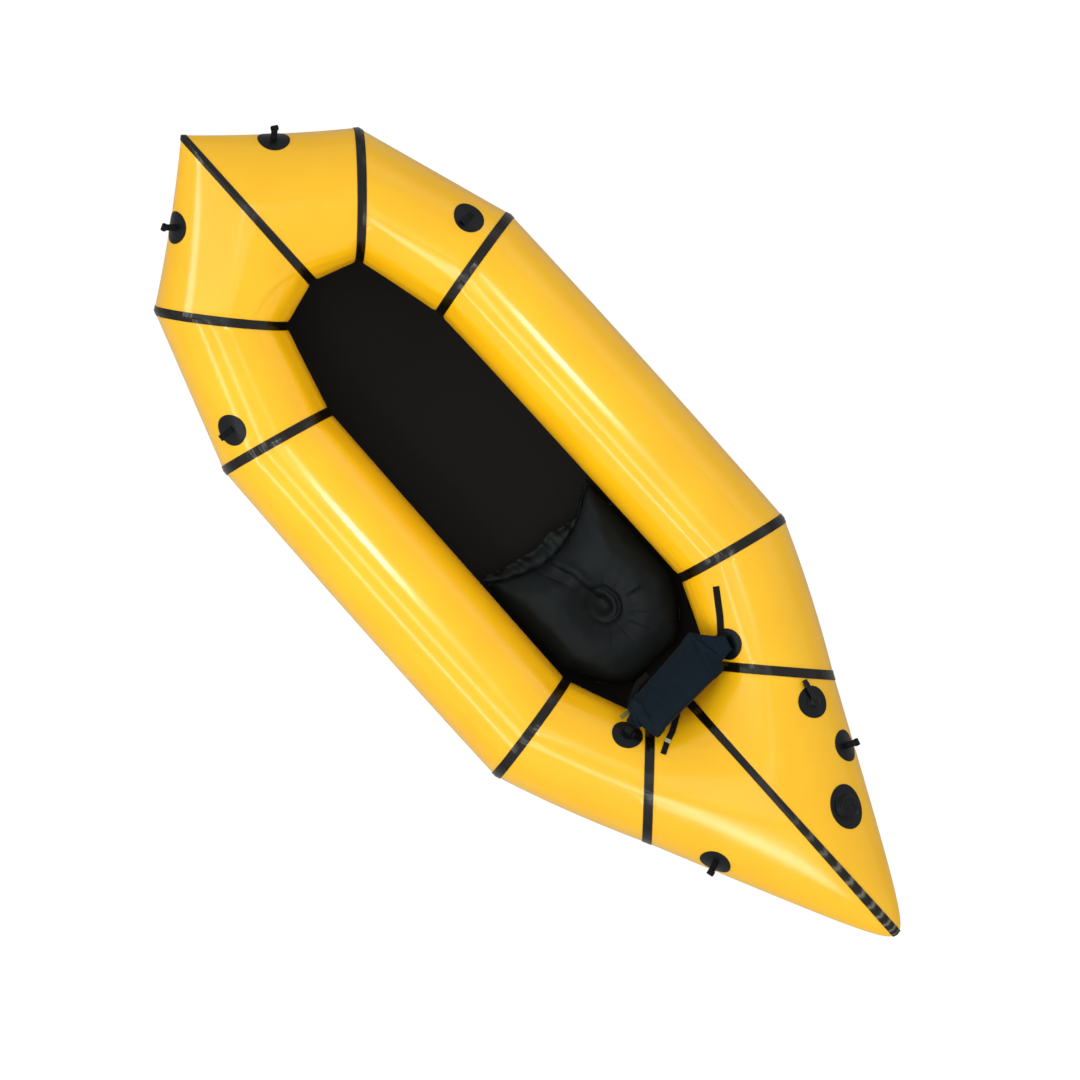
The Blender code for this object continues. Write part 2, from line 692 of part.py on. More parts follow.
def superellipse(height, depth, count=18):
    """An oval with full sides, in the (depth, height) plane."""
    outline = []
    for k in range(count):
        turn = 2 * math.pi * k / count
        c, s = math.cos(turn), math.sin(turn)
        outline.append((depth / 2 * math.copysign(abs(c) ** 0.7, c), height / 2 * math.copysign(abs(s) ** 0.6, s)))
    return outline


def backrest_frame():
    """The pad's frame: X out of its face, Y to port, Z up its height."""
    bar = anchor_seat(PORT)[2]
    centre = Vector((bar.x + BACKREST_FORWARD, 0, bar.z - BACKREST_DROP))
    return Matrix.Translation(centre) @ Matrix.Rotation(math.radians(-BACKREST_LEAN), 4, "Y")


# Sections of the pad: shares of its half width, height and depth, and of the twist of its mouths
PAD_SHARES = ((0.0, 1.0, 1.0, 0), (0.45, 0.995, 0.99, 0), (0.72, 0.96, 0.93, 0), (0.86, 0.86, 0.78, 0.2),
              (0.95, 0.68, 0.52, 0.6))


def mouth_twist():
    """How far the pad's mouths turn from the lean of the pad to that of the straps."""
    width = strap_frame(PORT)[0].to_3x3() @ Vector((0, 1, 0))
    return math.atan2(abs(width.x), abs(width.z)) - math.radians(BACKREST_LEAN)


def pad_rings(inset):
    frame = backrest_frame()
    half = BACKREST_WIDTH / 2
    twist = mouth_twist()
    sections = [(half * reach, BACKREST_HEIGHT * tall, BACKREST_DEPTH * deep, twist * turn)
                for reach, tall, deep, turn in PAD_SHARES]
    sections.append((half, BACKREST_MOUTH_HEIGHT, BACKREST_MOUTH_DEPTH, twist))
    sections = [(-y, *rest) for y, *rest in reversed(sections[1:])] + sections
    rings = []
    for y, tall, deep, turn in sections:
        outline = superellipse(tall - 2 * inset, deep - 2 * inset)
        spin = Matrix.Rotation(-turn, 4, "Y")
        rings.append([frame @ spin @ Vector((x, y, z)) for x, z in outline])
    return rings


def build_backrest():
    points, faces = loft(pad_rings(0))
    cover = add_object("backrest_cover", mesh_from("backrest_cover", points, faces), backrest_fabric)
    thicken(cover, BACKREST_COVER, -1)
    inner = pad_rings(BACKREST_COVER + 4 * CLEARANCE)[2:-2]
    points, faces = loft(inner)
    count = len(inner[0])
    last = len(points) - count
    ends = [tuple(range(count)), tuple(range(last, last + count))]
    mesh = mesh_from("backrest_core", points, faces + ends)
    shape = bmesh.new()
    shape.from_mesh(mesh)
    bmesh.ops.recalc_face_normals(shape, faces=shape.faces)
    shape.to_mesh(mesh)
    shape.free()
    add_object("backrest_core", mesh, foam)


def anchor_seat(side):
    """The middle of the anchor patch, the way out of it, and the middle of the loop's top run."""
    frame = facet_frame(3, side, *ANCHOR_SHARES)
    out = frame.to_3x3() @ Vector((0, 0, 1))
    return frame.translation, out, frame.translation + out * (PATCH_TOP + ANCHOR_LOOP_HEIGHT)


def strap_run(side):
    """From the anchor loop's top run to the mouth in the end of the pad."""
    bar = anchor_seat(side)[2]
    mouth = backrest_frame() @ Vector((0, side * BACKREST_WIDTH / 2, 0))
    return mouth - bar


def anchor_frame(side):
    """On the anchor patch: Z out of it, X along the loop's bar, square to the strap."""
    origin, out, _ = anchor_seat(side)
    along = strap_run(side).cross(out).normalized()
    return frame_from(origin, along, out.cross(along), out)


def strap_frame(side):
    """From the anchor's bar towards the end of the pad: Z along the strap, Y its width."""
    run = strap_run(side)
    way = run.normalized()
    width = anchor_frame(side).to_3x3() @ Vector((1, 0, 0))
    return frame_from(anchor_seat(side)[2], width.cross(way), width, way), run.length


def build_anchors():
    for side_name, side in SIDES.items():
        build_patch(f"backrest_anchor_patch_{side_name}", 3, side, ANCHOR_SHARES, ANCHOR_PATCH_DIAMETER)
        frame = anchor_frame(side)
        # the loop's outline, as a low arch closed along the patch
        half = ANCHOR_LOOP_SPAN / 2
        foot = PATCH_TOP + CLEARANCE + SEAT_LIFT + STRAP_WALL / 2
        top = PATCH_TOP + ANCHOR_LOOP_HEIGHT
        rise = top - foot
        outline = []
        for k in range(16):
            turn = 2 * math.pi * k / 16
            c, s = math.cos(turn), math.sin(turn)
            outline.append((half * math.copysign(abs(c) ** 0.6, c), foot + rise * (0.5 + 0.5 * math.copysign(
                abs(s) ** 0.45, s))))
        belt(f"backrest_anchor_loop_{side_name}", outline, ANCHOR_LOOP_WIDTH, STRAP_WALL, frame, webbing)


def build_straps():
    for side_name, side in SIDES.items():
        frame, distance = strap_frame(side)
        near = STRAP_ANCHOR_RADIUS
        bar_radius = BUCKLE_BAR / 2 * math.sqrt(2) + CLEARANCE + STRAP_WALL / 2
        bar_place = distance - BUCKLE_LENGTH + BUCKLE_BAR / 2 + BUCKLE_BAR
        offset = ANCHOR_LOOP_WIDTH / 2 + STRAP_WALL / 2 + CLEARANCE * 3 - near
        outline = pulley_outline(near, bar_radius, bar_place + offset)
        outline = [(x, z - offset) for x, z in outline]
        belt(f"backrest_strap_{side_name}", outline, STRAP_WIDTH, STRAP_WALL, frame, webbing)
        build_buckle(f"backrest_buckle_{side_name}", frame, bar_place)


def build_buckle(name, frame, bar_place):
    """A ladder-lock: a flat frame with two slots, the strap round its first bar."""
    mesh = bpy.data.meshes.new(name)
    shape = bmesh.new()
    middle = bar_place + BUCKLE_LENGTH / 2 - BUCKLE_BAR / 2
    size = Matrix.Diagonal((BUCKLE_THICKNESS, BUCKLE_WIDTH, BUCKLE_LENGTH, 1))
    bmesh.ops.create_cube(shape, size=1, matrix=Matrix.Translation((0, 0, middle)) @ size)
    shape.to_mesh(mesh)
    shape.free()
    buckle = add_object(name, mesh, black_plastic, smooth=False)
    buckle.matrix_world = frame
    slot = (BUCKLE_LENGTH - 3 * BUCKLE_BAR) / 2
    inner = BUCKLE_WIDTH - 2 * BUCKLE_BAR
    for number in range(2):
        tool_mesh = bpy.data.meshes.new(f"{name}_slot_{number}")
        shape = bmesh.new()
        place = bar_place + BUCKLE_BAR / 2 + slot / 2 + number * (slot + BUCKLE_BAR)
        size = Matrix.Diagonal((BUCKLE_THICKNESS * 2, inner, slot, 1))
        bmesh.ops.create_cube(shape, size=1, matrix=Matrix.Translation((0, 0, place)) @ size)
        shape.to_mesh(tool_mesh)
        shape.free()
        tool = bpy.data.objects.new(tool_mesh.name, tool_mesh)
        cutters.objects.link(tool)
        tool.matrix_world = frame
        tool.hide_render = True
        tool.display_type = "WIRE"
        cut(buckle, tool)


def build_tail(name, panel, side, shares):
    """A loose strap end, lying on the tube between two places on it."""
    points, faces = panel_skin(panel, side)
    tree = BVHTree.FromPolygons(points, faces)
    start = facet_frame(panel, side, *shares[0])
    end = facet_frame(panel, side, *shares[1])
    run = end.translation - start.translation
    count = 8
    grid = []
    for k in range(count + 1):
        share = k / count
        out = (start.to_3x3() @ Vector((0, 0, 1))).lerp(end.to_3x3() @ Vector((0, 0, 1)), share).normalized()
        across = run.cross(out).normalized()
        middle = start.translation.lerp(end.translation, share)
        for step in (-1, 0, 1):
            place = middle + across * step * TAIL_WIDTH / 2
            hit = tree.ray_cast(place + out * RADIUS / 2, -out)[0]
            grid.append(hit + out * (CLEARANCE + FACET_SAG / 2))
    faces = []
    for k in range(count):
        for step in range(2):
            low = k * 3 + step
            faces.append((low, low + 1, low + 4, low + 3))
    mesh = mesh_from(name, grid, faces)
    if mesh.polygons[0].normal.dot(start.to_3x3() @ Vector((0, 0, 1))) < 0:
        mesh.flip_normals()
    tail = add_object(name, mesh, webbing)
    thicken(tail, TAIL_THICKNESS, 1)


# Valves

def main_valve_frame():
    return facet_frame(4, STARBOARD, *MAIN_VALVE_SHARES)


def build_main_valve():
    frame = main_valve_frame()
    build_patch("main_valve_flange", 4, STARBOARD, MAIN_VALVE_SHARES, MAIN_PATCH_DIAMETER,
                MAIN_NECK_DIAMETER + 2 * CLEARANCE)
    foot = PATCH_TOP + SEAT_LIFT + CLEARANCE
    top = foot + MAIN_COLLAR_HEIGHT
    collar, neck, bore = MAIN_COLLAR_DIAMETER / 2, MAIN_NECK_DIAMETER / 2, MAIN_BORE / 2
    round_edge = MAIN_COLLAR_HEIGHT / 3
    turned("main_valve_base", [
        (collar - round_edge * 2, top), (collar - round_edge, top - round_edge / 3), (collar, foot + round_edge),
        (collar, foot), (neck, foot), (neck, -MAIN_NECK_DEPTH), (bore, -MAIN_NECK_DEPTH), (bore, top)],
        frame, black_plastic)
    flap_top = -MAIN_NECK_DEPTH - CLEARANCE
    turned("main_valve_flap", [(0, flap_top), (neck, flap_top), (neck, flap_top - MAIN_FLAP_THICKNESS),
                               (0, flap_top - MAIN_FLAP_THICKNESS)], frame, soft_rubber, closed=False)
    cap, plug = MAIN_CAP_DIAMETER / 2, bore - CLEARANCE
    seat = top + CLEARANCE
    lip = MAIN_CAP_THICKNESS / 3
    turned("main_valve_cap", [
        (0, seat + MAIN_CAP_THICKNESS - lip), (plug * 0.6, seat + MAIN_CAP_THICKNESS - lip),
        (plug * 0.68, seat + MAIN_CAP_THICKNESS), (cap - lip, seat + MAIN_CAP_THICKNESS),
        (cap, seat + MAIN_CAP_THICKNESS - lip), (cap, seat), (plug, seat), (plug, seat - MAIN_PLUG_LENGTH),
        (0, seat - MAIN_PLUG_LENGTH)], frame, black_plastic, closed=False)


def topup_frame():
    """Z out of the patch, X along the mouth stem."""
    frame = facet_frame(4, STARBOARD, *TOPUP_SHARES)
    out = frame.to_3x3() @ Vector((0, 0, 1))
    along = Vector((math.cos(math.radians(TOPUP_STEM_HEADING)), math.sin(math.radians(TOPUP_STEM_HEADING)), 0))
    along = (along - out * along.dot(out)).normalized()
    return frame_from(frame.translation, along, out.cross(along), out)


def stem_frame():
    """Z along the mouth stem, the origin in the middle of the base."""
    frame = topup_frame()
    foot = PATCH_TOP + SEAT_LIFT + CLEARANCE
    height = foot + TOPUP_BASE_HEIGHT - MOUTHPIECE_DIAMETER / 2
    return frame @ Matrix.Translation((0, 0, height)) @ Matrix.Rotation(math.pi / 2, 4, "Y")


def build_topup_valve():
    build_patch("topup_patch", 4, STARBOARD, TOPUP_SHARES, TOPUP_PATCH_DIAMETER)
    frame = topup_frame()
    foot = PATCH_TOP + SEAT_LIFT + CLEARANCE
    base, high = TOPUP_BASE_DIAMETER / 2, foot + TOPUP_BASE_HEIGHT
    dome = turned("topup_base", [
        (0, high), (base * 0.45, high - TOPUP_BASE_HEIGHT * 0.06), (base * 0.66, high - TOPUP_BASE_HEIGHT * 0.25),
        (base * 0.74, high - TOPUP_BASE_HEIGHT * 0.6), (base * 0.8, foot + TOPUP_BASE_HEIGHT * 0.18),
        (base, foot + TOPUP_BASE_HEIGHT * 0.1), (base, foot), (0, foot)], frame, black_plastic, closed=False)
    stem = stem_frame()
    cut(dome, cylinder_tool("topup_stem", stem, TOPUP_STEM_DIAMETER / 2, 0, TOPUP_STEM_LENGTH, 16), "UNION")
    cut(dome, cylinder_tool("topup_bore", stem, TOPUP_STEM_BORE / 2, TOPUP_STEM_BORE / 2,
                            TOPUP_STEM_LENGTH * 1.1, 12))
    # the mouthpiece turns on the end of the stem
    inner = TOPUP_STEM_DIAMETER / 2 + CLEARANCE
    outer = MOUTHPIECE_DIAMETER / 2
    start = TOPUP_STEM_LENGTH - MOUTHPIECE_LENGTH * 0.7
    end = start + MOUTHPIECE_LENGTH
    mouth = POPPET_HEAD / 2 + CLEARANCE
    step = TOPUP_STEM_LENGTH + CLEARANCE
    turned("topup_mouthpiece", [
        (outer * 0.86, end), (outer * 0.86, end - MOUTHPIECE_LENGTH * 0.35), (outer, end - MOUTHPIECE_LENGTH * 0.45),
        (outer, start), (inner, start), (inner, step), (mouth, step), (mouth, end)], stem, black_plastic, steps=16)
    pin = POPPET_DIAMETER / 2
    head = POPPET_HEAD / 2
    head_low = step + CLEARANCE
    turned("topup_poppet", [
        (0, end - POPPET_RECESS), (head, end - POPPET_RECESS), (head, head_low), (pin, head_low),
        (pin, head_low - POPPET_LENGTH), (0, head_low - POPPET_LENGTH)], stem, soft_rubber, closed=False, steps=12)


def seat_valve_frame():
    """On the seat's starboard side, under the overhang of the tube: Z out of the wall."""
    height = SEAT_EDGE_HEIGHT * 3 / 4 - SEAT_VALVE_DIAMETER / 4
    top_edge = (height + SEAT_VALVE_DIAMETER / 2) / SEAT_EDGE_HEIGHT
    wall = SEAT_WIDTH / 2 * (1 - (1 - SEAT_WAIST_SHARE) * 2 * (1 - top_edge))
    place = Vector((SEAT_VALVE_X, -wall - CLEARANCE, FLOOR_THICKNESS + CLEARANCE + height))
    return frame_from(place, Vector((1, 0, 0)), Vector((0, 0, 1)), Vector((0, -1, 0)))


def build_seat_valve():
    frame = seat_valve_frame()
    radius, bore = SEAT_VALVE_DIAMETER / 2, SEAT_VALVE_BORE / 2
    turned("seat_valve_stem", [
        (radius * 0.8, SEAT_VALVE_LENGTH), (radius * 0.8, SEAT_VALVE_LENGTH * 0.25), (radius, SEAT_VALVE_LENGTH * 0.2),
        (radius, 0), (bore, 0), (bore, SEAT_VALVE_LENGTH)], frame, black_plastic, steps=16)
    pin = bore - CLEARANCE
    turned("seat_valve_plug", [
        (0, SEAT_VALVE_LENGTH + SEAT_VALVE_LENGTH * 0.25), (radius * 0.8, SEAT_VALVE_LENGTH * 1.25),
        (radius * 0.8, SEAT_VALVE_LENGTH + CLEARANCE), (pin, SEAT_VALVE_LENGTH + CLEARANCE),
        (pin, SEAT_VALVE_LENGTH * 0.5), (0, SEAT_VALVE_LENGTH * 0.5)], frame, soft_rubber, closed=False, steps=12)


# Build

for old in list(bpy.data.objects):
    bpy.data.objects.remove(old, do_unlink=True)
boat = bpy.data.collections.new("packraft")
cutters = bpy.data.collections.new("cutters")
bpy.context.scene.collection.children.link(boat)
bpy.context.scene.collection.children.link(cutters)

yellow_fabric = material("yellow_fabric", "F7C02B", 0.28)
black_tape = material("black_tape", "1C1A10", 0.35)
black_floor = material("black_floor", "1A1A1A", 0.7)
black_patch = material("black_patch", "14181A", 0.5)
webbing = material("webbing", "15171A", 0.8)
seat_fabric = material("seat_fabric", "1B2326", 0.6)
backrest_fabric = material("backrest_fabric", "16212B", 0.7)
foam = material("foam", "8A8A86", 0.9)
black_plastic = material("black_plastic", "101215", 0.4)
soft_rubber = material("soft_rubber", "1A1C1E", 0.6)

build_tubes()
build_tapes()
build_floor()
build_ties()
build_seat()
build_seat_valve()
build_anchors()
build_straps()
build_backrest()
build_tail("strap_tail_port", 4, PORT, PORT_TAIL_SHARES)
build_tail("strap_tail_starboard", 3, STARBOARD, STARBOARD_TAIL_SHARES)
build_main_valve()
build_topup_valve()
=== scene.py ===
# Packraft, seen from straight above: one air chamber of ten taped panels, a cloth floor, a seat,
# a backrest pad on straps, two inflation valves and six webbing tie-downs.

import math

import bpy
from mathutils import Matrix, Vector, noise
from mathutils.bvhtree import BVHTree


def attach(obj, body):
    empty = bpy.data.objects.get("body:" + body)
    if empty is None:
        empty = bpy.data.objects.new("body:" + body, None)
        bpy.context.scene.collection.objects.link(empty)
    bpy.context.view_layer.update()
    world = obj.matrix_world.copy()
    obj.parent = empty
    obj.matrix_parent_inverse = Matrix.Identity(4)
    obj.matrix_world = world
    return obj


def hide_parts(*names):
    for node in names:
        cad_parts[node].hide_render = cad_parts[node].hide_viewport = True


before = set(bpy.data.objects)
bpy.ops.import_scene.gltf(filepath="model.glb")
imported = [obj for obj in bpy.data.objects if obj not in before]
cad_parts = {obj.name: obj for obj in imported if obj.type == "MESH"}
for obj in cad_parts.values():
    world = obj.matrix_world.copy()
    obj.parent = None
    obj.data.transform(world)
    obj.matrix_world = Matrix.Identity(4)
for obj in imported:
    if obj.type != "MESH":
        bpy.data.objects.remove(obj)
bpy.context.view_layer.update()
bpy.ops.object.select_all(action="DESELECT")


def clamp(value):
    """The value, kept between 0 and 1."""
    return min(1.0, max(0.0, value))


def ridge(value, width):
    """A smooth rise to 1 at a value of 0, gone at about twice the width."""
    return math.exp(-(value / width) ** 2)


# Tube panels. The real ones are flat cuts of nylon cloth with a glossy airtight coating, rolled into
# tubes that meet in mitres. Air keeps them round, and the cloth puckers a little beside each mitre,
# mostly on the cockpit side, where the bend gathers it.

TUBE_RADIUS = 0.147
TUBE_WALL = 0.0006
TUBE_AXIS_HEIGHT = 0.150
BOW_TIP = 1.306
BOW_SAG = 0.008
SWELL = {2: 0.0045, 3: 0.0070}
STERN_LENGTH = 0.571
STERN_TIP_BLUNTNESS = 0.080
CENTRE_SEAM_HEIGHT = 0.300
TIP_TAPER = 0.28
SEAM_ALLOWANCE = 0.0008
# depth of the long fold in the bow panel, by side
BOW_FOLD = {1: 0.0040, -1: 0.0004}
PANELS = ("bow", "front_shoulder", "side", "rear_shoulder", "stern")
PANEL_LENGTHS = (0.42, 0.40, 0.96, 0.36, 0.62)
SIDES = {"port": 1, "starboard": -1}
# seam: station of its outer end, width of the hull there, length across the tube, slant, rise, lean aft
MITRES = {1: (1.039, 0.668, 0.323, -48.5, 0.050, 0.0127), 2: (0.633, 0.942, 0.296, -12.5, 0.0, 0.0),
          3: (-0.366, 0.948, 0.291, 11.7, 0.0, 0.0037), 4: (-0.735, 0.614, 0.301, 46.8, 0.016, 0.0)}
# the two seams on the centre line: way that the tip points, length, rise at the cockpit, rise at the tip
CENTRE_SEAMS = {0: (1, 0.471, 0.052, 0.190), 5: (-1, 0.756, 0.018, 0.110)}


def seam_point(seam, turn):
    """On one of the port side's six seams, bow to stern; turn 0 faces the cockpit, a quarter turn is up."""
    reach = (1 - math.cos(turn)) / 2
    if seam in CENTRE_SEAMS:
        way, length, inner_rise, tip_rise = CENTRE_SEAMS[seam]
        widest = 0.5 / (1 + TIP_TAPER)
        peak = 2 * math.sqrt(widest * (1 - widest)) * (1 - widest) ** TIP_TAPER
        middle = TUBE_AXIS_HEIGHT + inner_rise + (tip_rise - inner_rise) * reach ** 2
        half = CENTRE_SEAM_HEIGHT / 2 * math.sin(turn) * max(0, 1 - reach) ** TIP_TAPER / peak
        return Vector((way * (BOW_TIP - length * (1 - reach)), 0, middle + half))
    station, beam, chord, slant, rise, lean = MITRES[seam]
    angle = math.radians(slant)
    across = Vector((math.sin(angle), -math.cos(angle), 0)) * chord
    top = Vector((-math.cos(angle) * lean, -math.sin(angle) * lean, TUBE_RADIUS))
    return Vector((station, beam / 2, TUBE_AXIS_HEIGHT + rise)) + across * (1 - reach) + top * math.sin(turn)


def skin(panel, share, turn):
    """On a port panel, at a share of its length from its bow end."""
    point = seam_point(panel, turn).lerp(seam_point(panel + 1, turn), share)
    reach = (1 - math.cos(turn)) / 2
    if panel == 0:
        point.x -= BOW_SAG * 4 * share * (1 - share) * reach
    if panel in SWELL:
        point.y += SWELL[panel] * 4 * share * (1 - share) * reach ** 2
    if panel == 4:
        far = STERN_LENGTH + STERN_TIP_BLUNTNESS
        slope = math.sqrt(far ** 2 - STERN_TIP_BLUNTNESS ** 2)
        along = far - math.sqrt((slope * (1 - share)) ** 2 + STERN_TIP_BLUNTNESS ** 2)
        point.x -= (along - STERN_LENGTH * share) * reach ** 2
    return point


def outward(panel, share, turn):
    """The way out of a port panel."""
    small = 0.004
    low, high = max(0, share - small), min(1, share + small)
    along = skin(panel, high, turn) - skin(panel, low, turn)
    around = skin(panel, share, turn + 0.02) - skin(panel, share, turn - 0.02)
    return around.cross(along).normalized()


def gathers(panel, side, share, turn, length):
    """How far the cloth stands out of the true tube: folds beside the mitres, and a slow unevenness."""
    out = 0.0
    cockpit = (0.5 + 0.5 * math.cos(turn)) ** 1.5
    round_tube = Vector((math.cos(turn), math.sin(turn), 0))
    for seam, distance in ((panel, share * length), (panel + 1, (1 - share) * length)):
        start = clamp((distance - 0.010) / 0.012)
        place = round_tube * 9.0 + Vector((0, 0, seam * 7.7 + side * 2.3))
        fold = 0.6 - 2.2 * abs(noise.noise(place))
        out += start * fold * (0.0003 + 0.0025 * cockpit) * math.exp(-distance / 0.045)
        place = round_tube * 4.0 + Vector((0, 0, seam * 5.1 + side * 1.7))
        out += start * noise.noise(place) * (0.0005 + 0.0028 * cockpit) * math.exp(-distance / 0.11)
    if panel == 0:
        fold_turn = 0.55 + 1.08 * share - 0.55 * share ** 2
        out += BOW_FOLD[side] * ridge(turn - fold_turn, 0.055) * math.sin(math.pi * share)
    slow = Vector((share * length / 0.16, math.cos(turn) * 1.6,
                   math.sin(turn) * 1.6 + panel * 3.7 + side * 9.1))
    return out + 0.00013 * noise.noise(slow)


def cloth_grid(name, along, across, size, place):
    """A flat cut of cloth of a size in metres, each corner of its grid moved by place()."""
    bpy.ops.mesh.primitive_grid_add(x_subdivisions=along, y_subdivisions=across, size=2)
    piece = bpy.context.object
    piece.name = name
    shares = [((v.co.x + 1) / 2, (v.co.y + 1) / 2) for v in piece.data.vertices]
    uv = piece.data.uv_layers.active.data
    for loop in piece.data.loops:
        a, b = shares[loop.vertex_index]
        uv[loop.index].uv = (a * size[0], b * size[1])
    for vertex, (a, b) in zip(piece.data.vertices, shares):
        vertex.co = place(a, b)
    return piece


def add_wall(piece, thickness, offset):
    """Gives the cloth its thickness."""
    wall = piece.modifiers.new("Wall", "SOLIDIFY")
    wall.thickness = thickness
    wall.offset = offset
    bpy.context.view_layer.objects.active = piece
    bpy.ops.object.modifier_apply(modifier="Wall")


def close_and_wall(piece, thickness=0, offset=0):
    """Merges the edges that meet, turns the faces out and gives the cloth its thickness, if it has one."""
    bpy.context.view_layer.objects.active = piece
    bpy.ops.object.mode_set(mode="EDIT")
    bpy.ops.mesh.select_all(action="SELECT")
    bpy.ops.mesh.remove_doubles(threshold=0.00002)
    bpy.ops.mesh.normals_make_consistent(inside=False)
    bpy.ops.object.mode_set(mode="OBJECT")
    if thickness:
        add_wall(piece, thickness, offset)


def close_ends(merge):
    """In edit mode: merges the corners that meet, fills what is open, turns the faces out and leaves."""
    bpy.ops.mesh.select_all(action="SELECT")
    bpy.ops.mesh.remove_doubles(threshold=merge)
    bpy.ops.mesh.select_all(action="DESELECT")
    bpy.ops.mesh.select_non_manifold()
    bpy.ops.mesh.edge_face_add()
    bpy.ops.mesh.select_all(action="SELECT")
    bpy.ops.mesh.normals_make_consistent(inside=False)
    bpy.ops.object.mode_set(mode="OBJECT")


def round_edges(piece, width, segments, degrees):
    """Rounds the edges where the faces turn by more than so many degrees."""
    edge = piece.modifiers.new("Edge", "BEVEL")
    edge.width = width
    edge.segments = segments
    edge.limit_method = "ANGLE"
    edge.angle_limit = math.radians(degrees)
    bpy.context.view_layer.objects.active = piece
    bpy.ops.object.modifier_apply(modifier="Edge")


def dress(piece, body, nodes, slot, finish, crease=40):
    """Gives a finished piece its body, the CAD nodes it stands for and its finish; its slot argument is not
    used.
    """
    bpy.ops.object.select_all(action="DESELECT")
    piece.select_set(True)
    bpy.context.view_layer.objects.active = piece
    bpy.ops.object.transform_apply(location=True, rotation=True, scale=True)
    bpy.ops.object.shade_smooth_by_angle(angle=math.radians(crease))
    piece.select_set(False)
    piece.data.materials.clear()
    piece.data.materials.append(finish)
    if nodes:
        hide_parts(*nodes)
    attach(piece, body)


def linear(hex_colour):
    """An sRGB hex colour as the linear colour that a shader takes."""
    channels = [int(hex_colour[i:i + 2], 16) / 255 for i in (0, 2, 4)]
    return (*[c / 12.92 if c <= 0.04045 else ((c + 0.055) / 1.055) ** 2.4 for c in channels], 1)


def add_node(tree, kind, settings, **links):
    """Adds a shader node: settings are options and socket values, links are the sockets that feed it."""
    made = tree.nodes.new(kind)
    for key, value in settings.items():
        if isinstance(key, int) or key in made.inputs:
            made.inputs[key].default_value = value
        else:
            setattr(made, key, value)
    for key, source in links.items():
        tree.links.new(source, made.inputs[key.replace("_", " ")])
    return made


def new_finish(name, settings):
    """An empty material with its shader."""
    made = bpy.data.materials.new(name)
    made.use_nodes = True
    shader = made.node_tree.nodes["Principled BSDF"]
    for key, value in settings.items():
        shader.inputs[key].default_value = value
    return made, made.node_tree, shader


def both(tree, operation, first, second):
    """Two values made into one."""
    made = add_node(tree, "ShaderNodeMath", {"operation": operation})
    tree.links.new(first, made.inputs[0])
    tree.links.new(second, made.inputs[1])
    return made.outputs[0]


def relief(tree, shader, height, strength, distance):
    """Makes a height show as fine relief."""
    bump = add_node(tree, "ShaderNodeBump", {"Strength": strength, "Distance": distance}, Height=height)
    tree.links.new(bump.outputs["Normal"], shader.inputs["Normal"])


def grainy_finish(name, settings, scale, detail, strength, distance):
    """A material with a fine grain all over."""
    made, tree, shader = new_finish(name, settings)
    hull = add_node(tree, "ShaderNodeTexCoord", {})
    grain = add_node(tree, "ShaderNodeTexNoise", {"Scale": scale, "Detail": detail},
                     Vector=hull.outputs["Object"])
    relief(tree, shader, grain.outputs["Fac"], strength, distance)
    return made


def threaded_finish(name, settings, threads, strength, distance, operation="MULTIPLY", distortion=0.0):
    """A material with raised threads: one set or two, each a direction and a scale."""
    made, tree, shader = new_finish(name, settings)
    cloth = add_node(tree, "ShaderNodeTexCoord", {})
    heights = []
    for direction, scale in threads:
        wave = add_node(tree, "ShaderNodeTexWave", {
            "bands_direction": direction, "Scale": scale, "Distortion": distortion},
            Vector=cloth.outputs["UV"])
        heights.append(wave.outputs["Fac"])
    height = both(tree, operation, *heights) if len(heights) == 2 else heights[0]
    relief(tree, shader, height, strength, distance)
    return made


# Coated nylon: a clear glossy coat over a yellow weave, its threads drawn 3 mm apart so that they show.
coated_nylon = threaded_finish("coated_nylon", {
    "Roughness": 0.42, "IOR": 1.5, "Specular IOR Level": 0.12, "Coat Weight": 0.80, "Coat Roughness": 0.15,
    "Coat IOR": 1.5}, (("X", 105.0), ("Y", 105.0)), 0.04, 0.0003, distortion=0.4)
tree = coated_nylon.node_tree
hull = add_node(tree, "ShaderNodeTexCoord", {})
cloud = add_node(tree, "ShaderNodeTexNoise", {"Scale": 7.0, "Detail": 3.0}, Vector=hull.outputs["Object"])
tint = add_node(tree, "ShaderNodeMix", {"data_type": "RGBA", 6: linear("FAB80C"), 7: linear("FDC716")},
                Factor=cloud.outputs["Fac"])
tree.links.new(tint.outputs[2], tree.nodes["Principled BSDF"].inputs["Base Color"])


def tube_panel(panel, side_name, along, around):
    """One panel's skin, with so many steps along it and round it."""
    side = SIDES[side_name]
    lengths = {}

    def place(a, b):
        turn = 2 * math.pi * b
        # the steps are closer together near the mitres
        share = (1 - math.cos(math.pi * a)) / 2 * 0.5 + a * 0.5
        key = round(b * around)
        if key not in lengths:
            lengths[key] = (seam_point(panel + 1, turn) - seam_point(panel, turn)).length
        length = lengths[key]
        share = SEAM_ALLOWANCE / length + share * (1 - 2 * SEAM_ALLOWANCE / length)
        point = skin(panel, share, turn)
        point += outward(panel, share, turn) * gathers(panel, side, share, turn, length)
        point.y *= side
        return point

    piece = cloth_grid(f"{PANELS[panel]}_panel_{side_name}", along, around,
                       (PANEL_LENGTHS[panel], 2 * math.pi * TUBE_RADIUS), place)
    close_and_wall(piece)
    return piece


bvh = {}
for side_name in SIDES:
    for panel, along in enumerate((84, 72, 150, 72, 120)):
        piece = tube_panel(panel, side_name, along, 144)
        bvh[panel, side_name] = BVHTree.FromPolygons([v.co.copy() for v in piece.data.vertices],
                                                     [tuple(p.vertices) for p in piece.data.polygons])
        close_and_wall(piece, TUBE_WALL, -1)
        dress(piece, "hull", [f"{PANELS[panel]}_tube_{side_name}"], "yellow_fabric", coated_nylon)


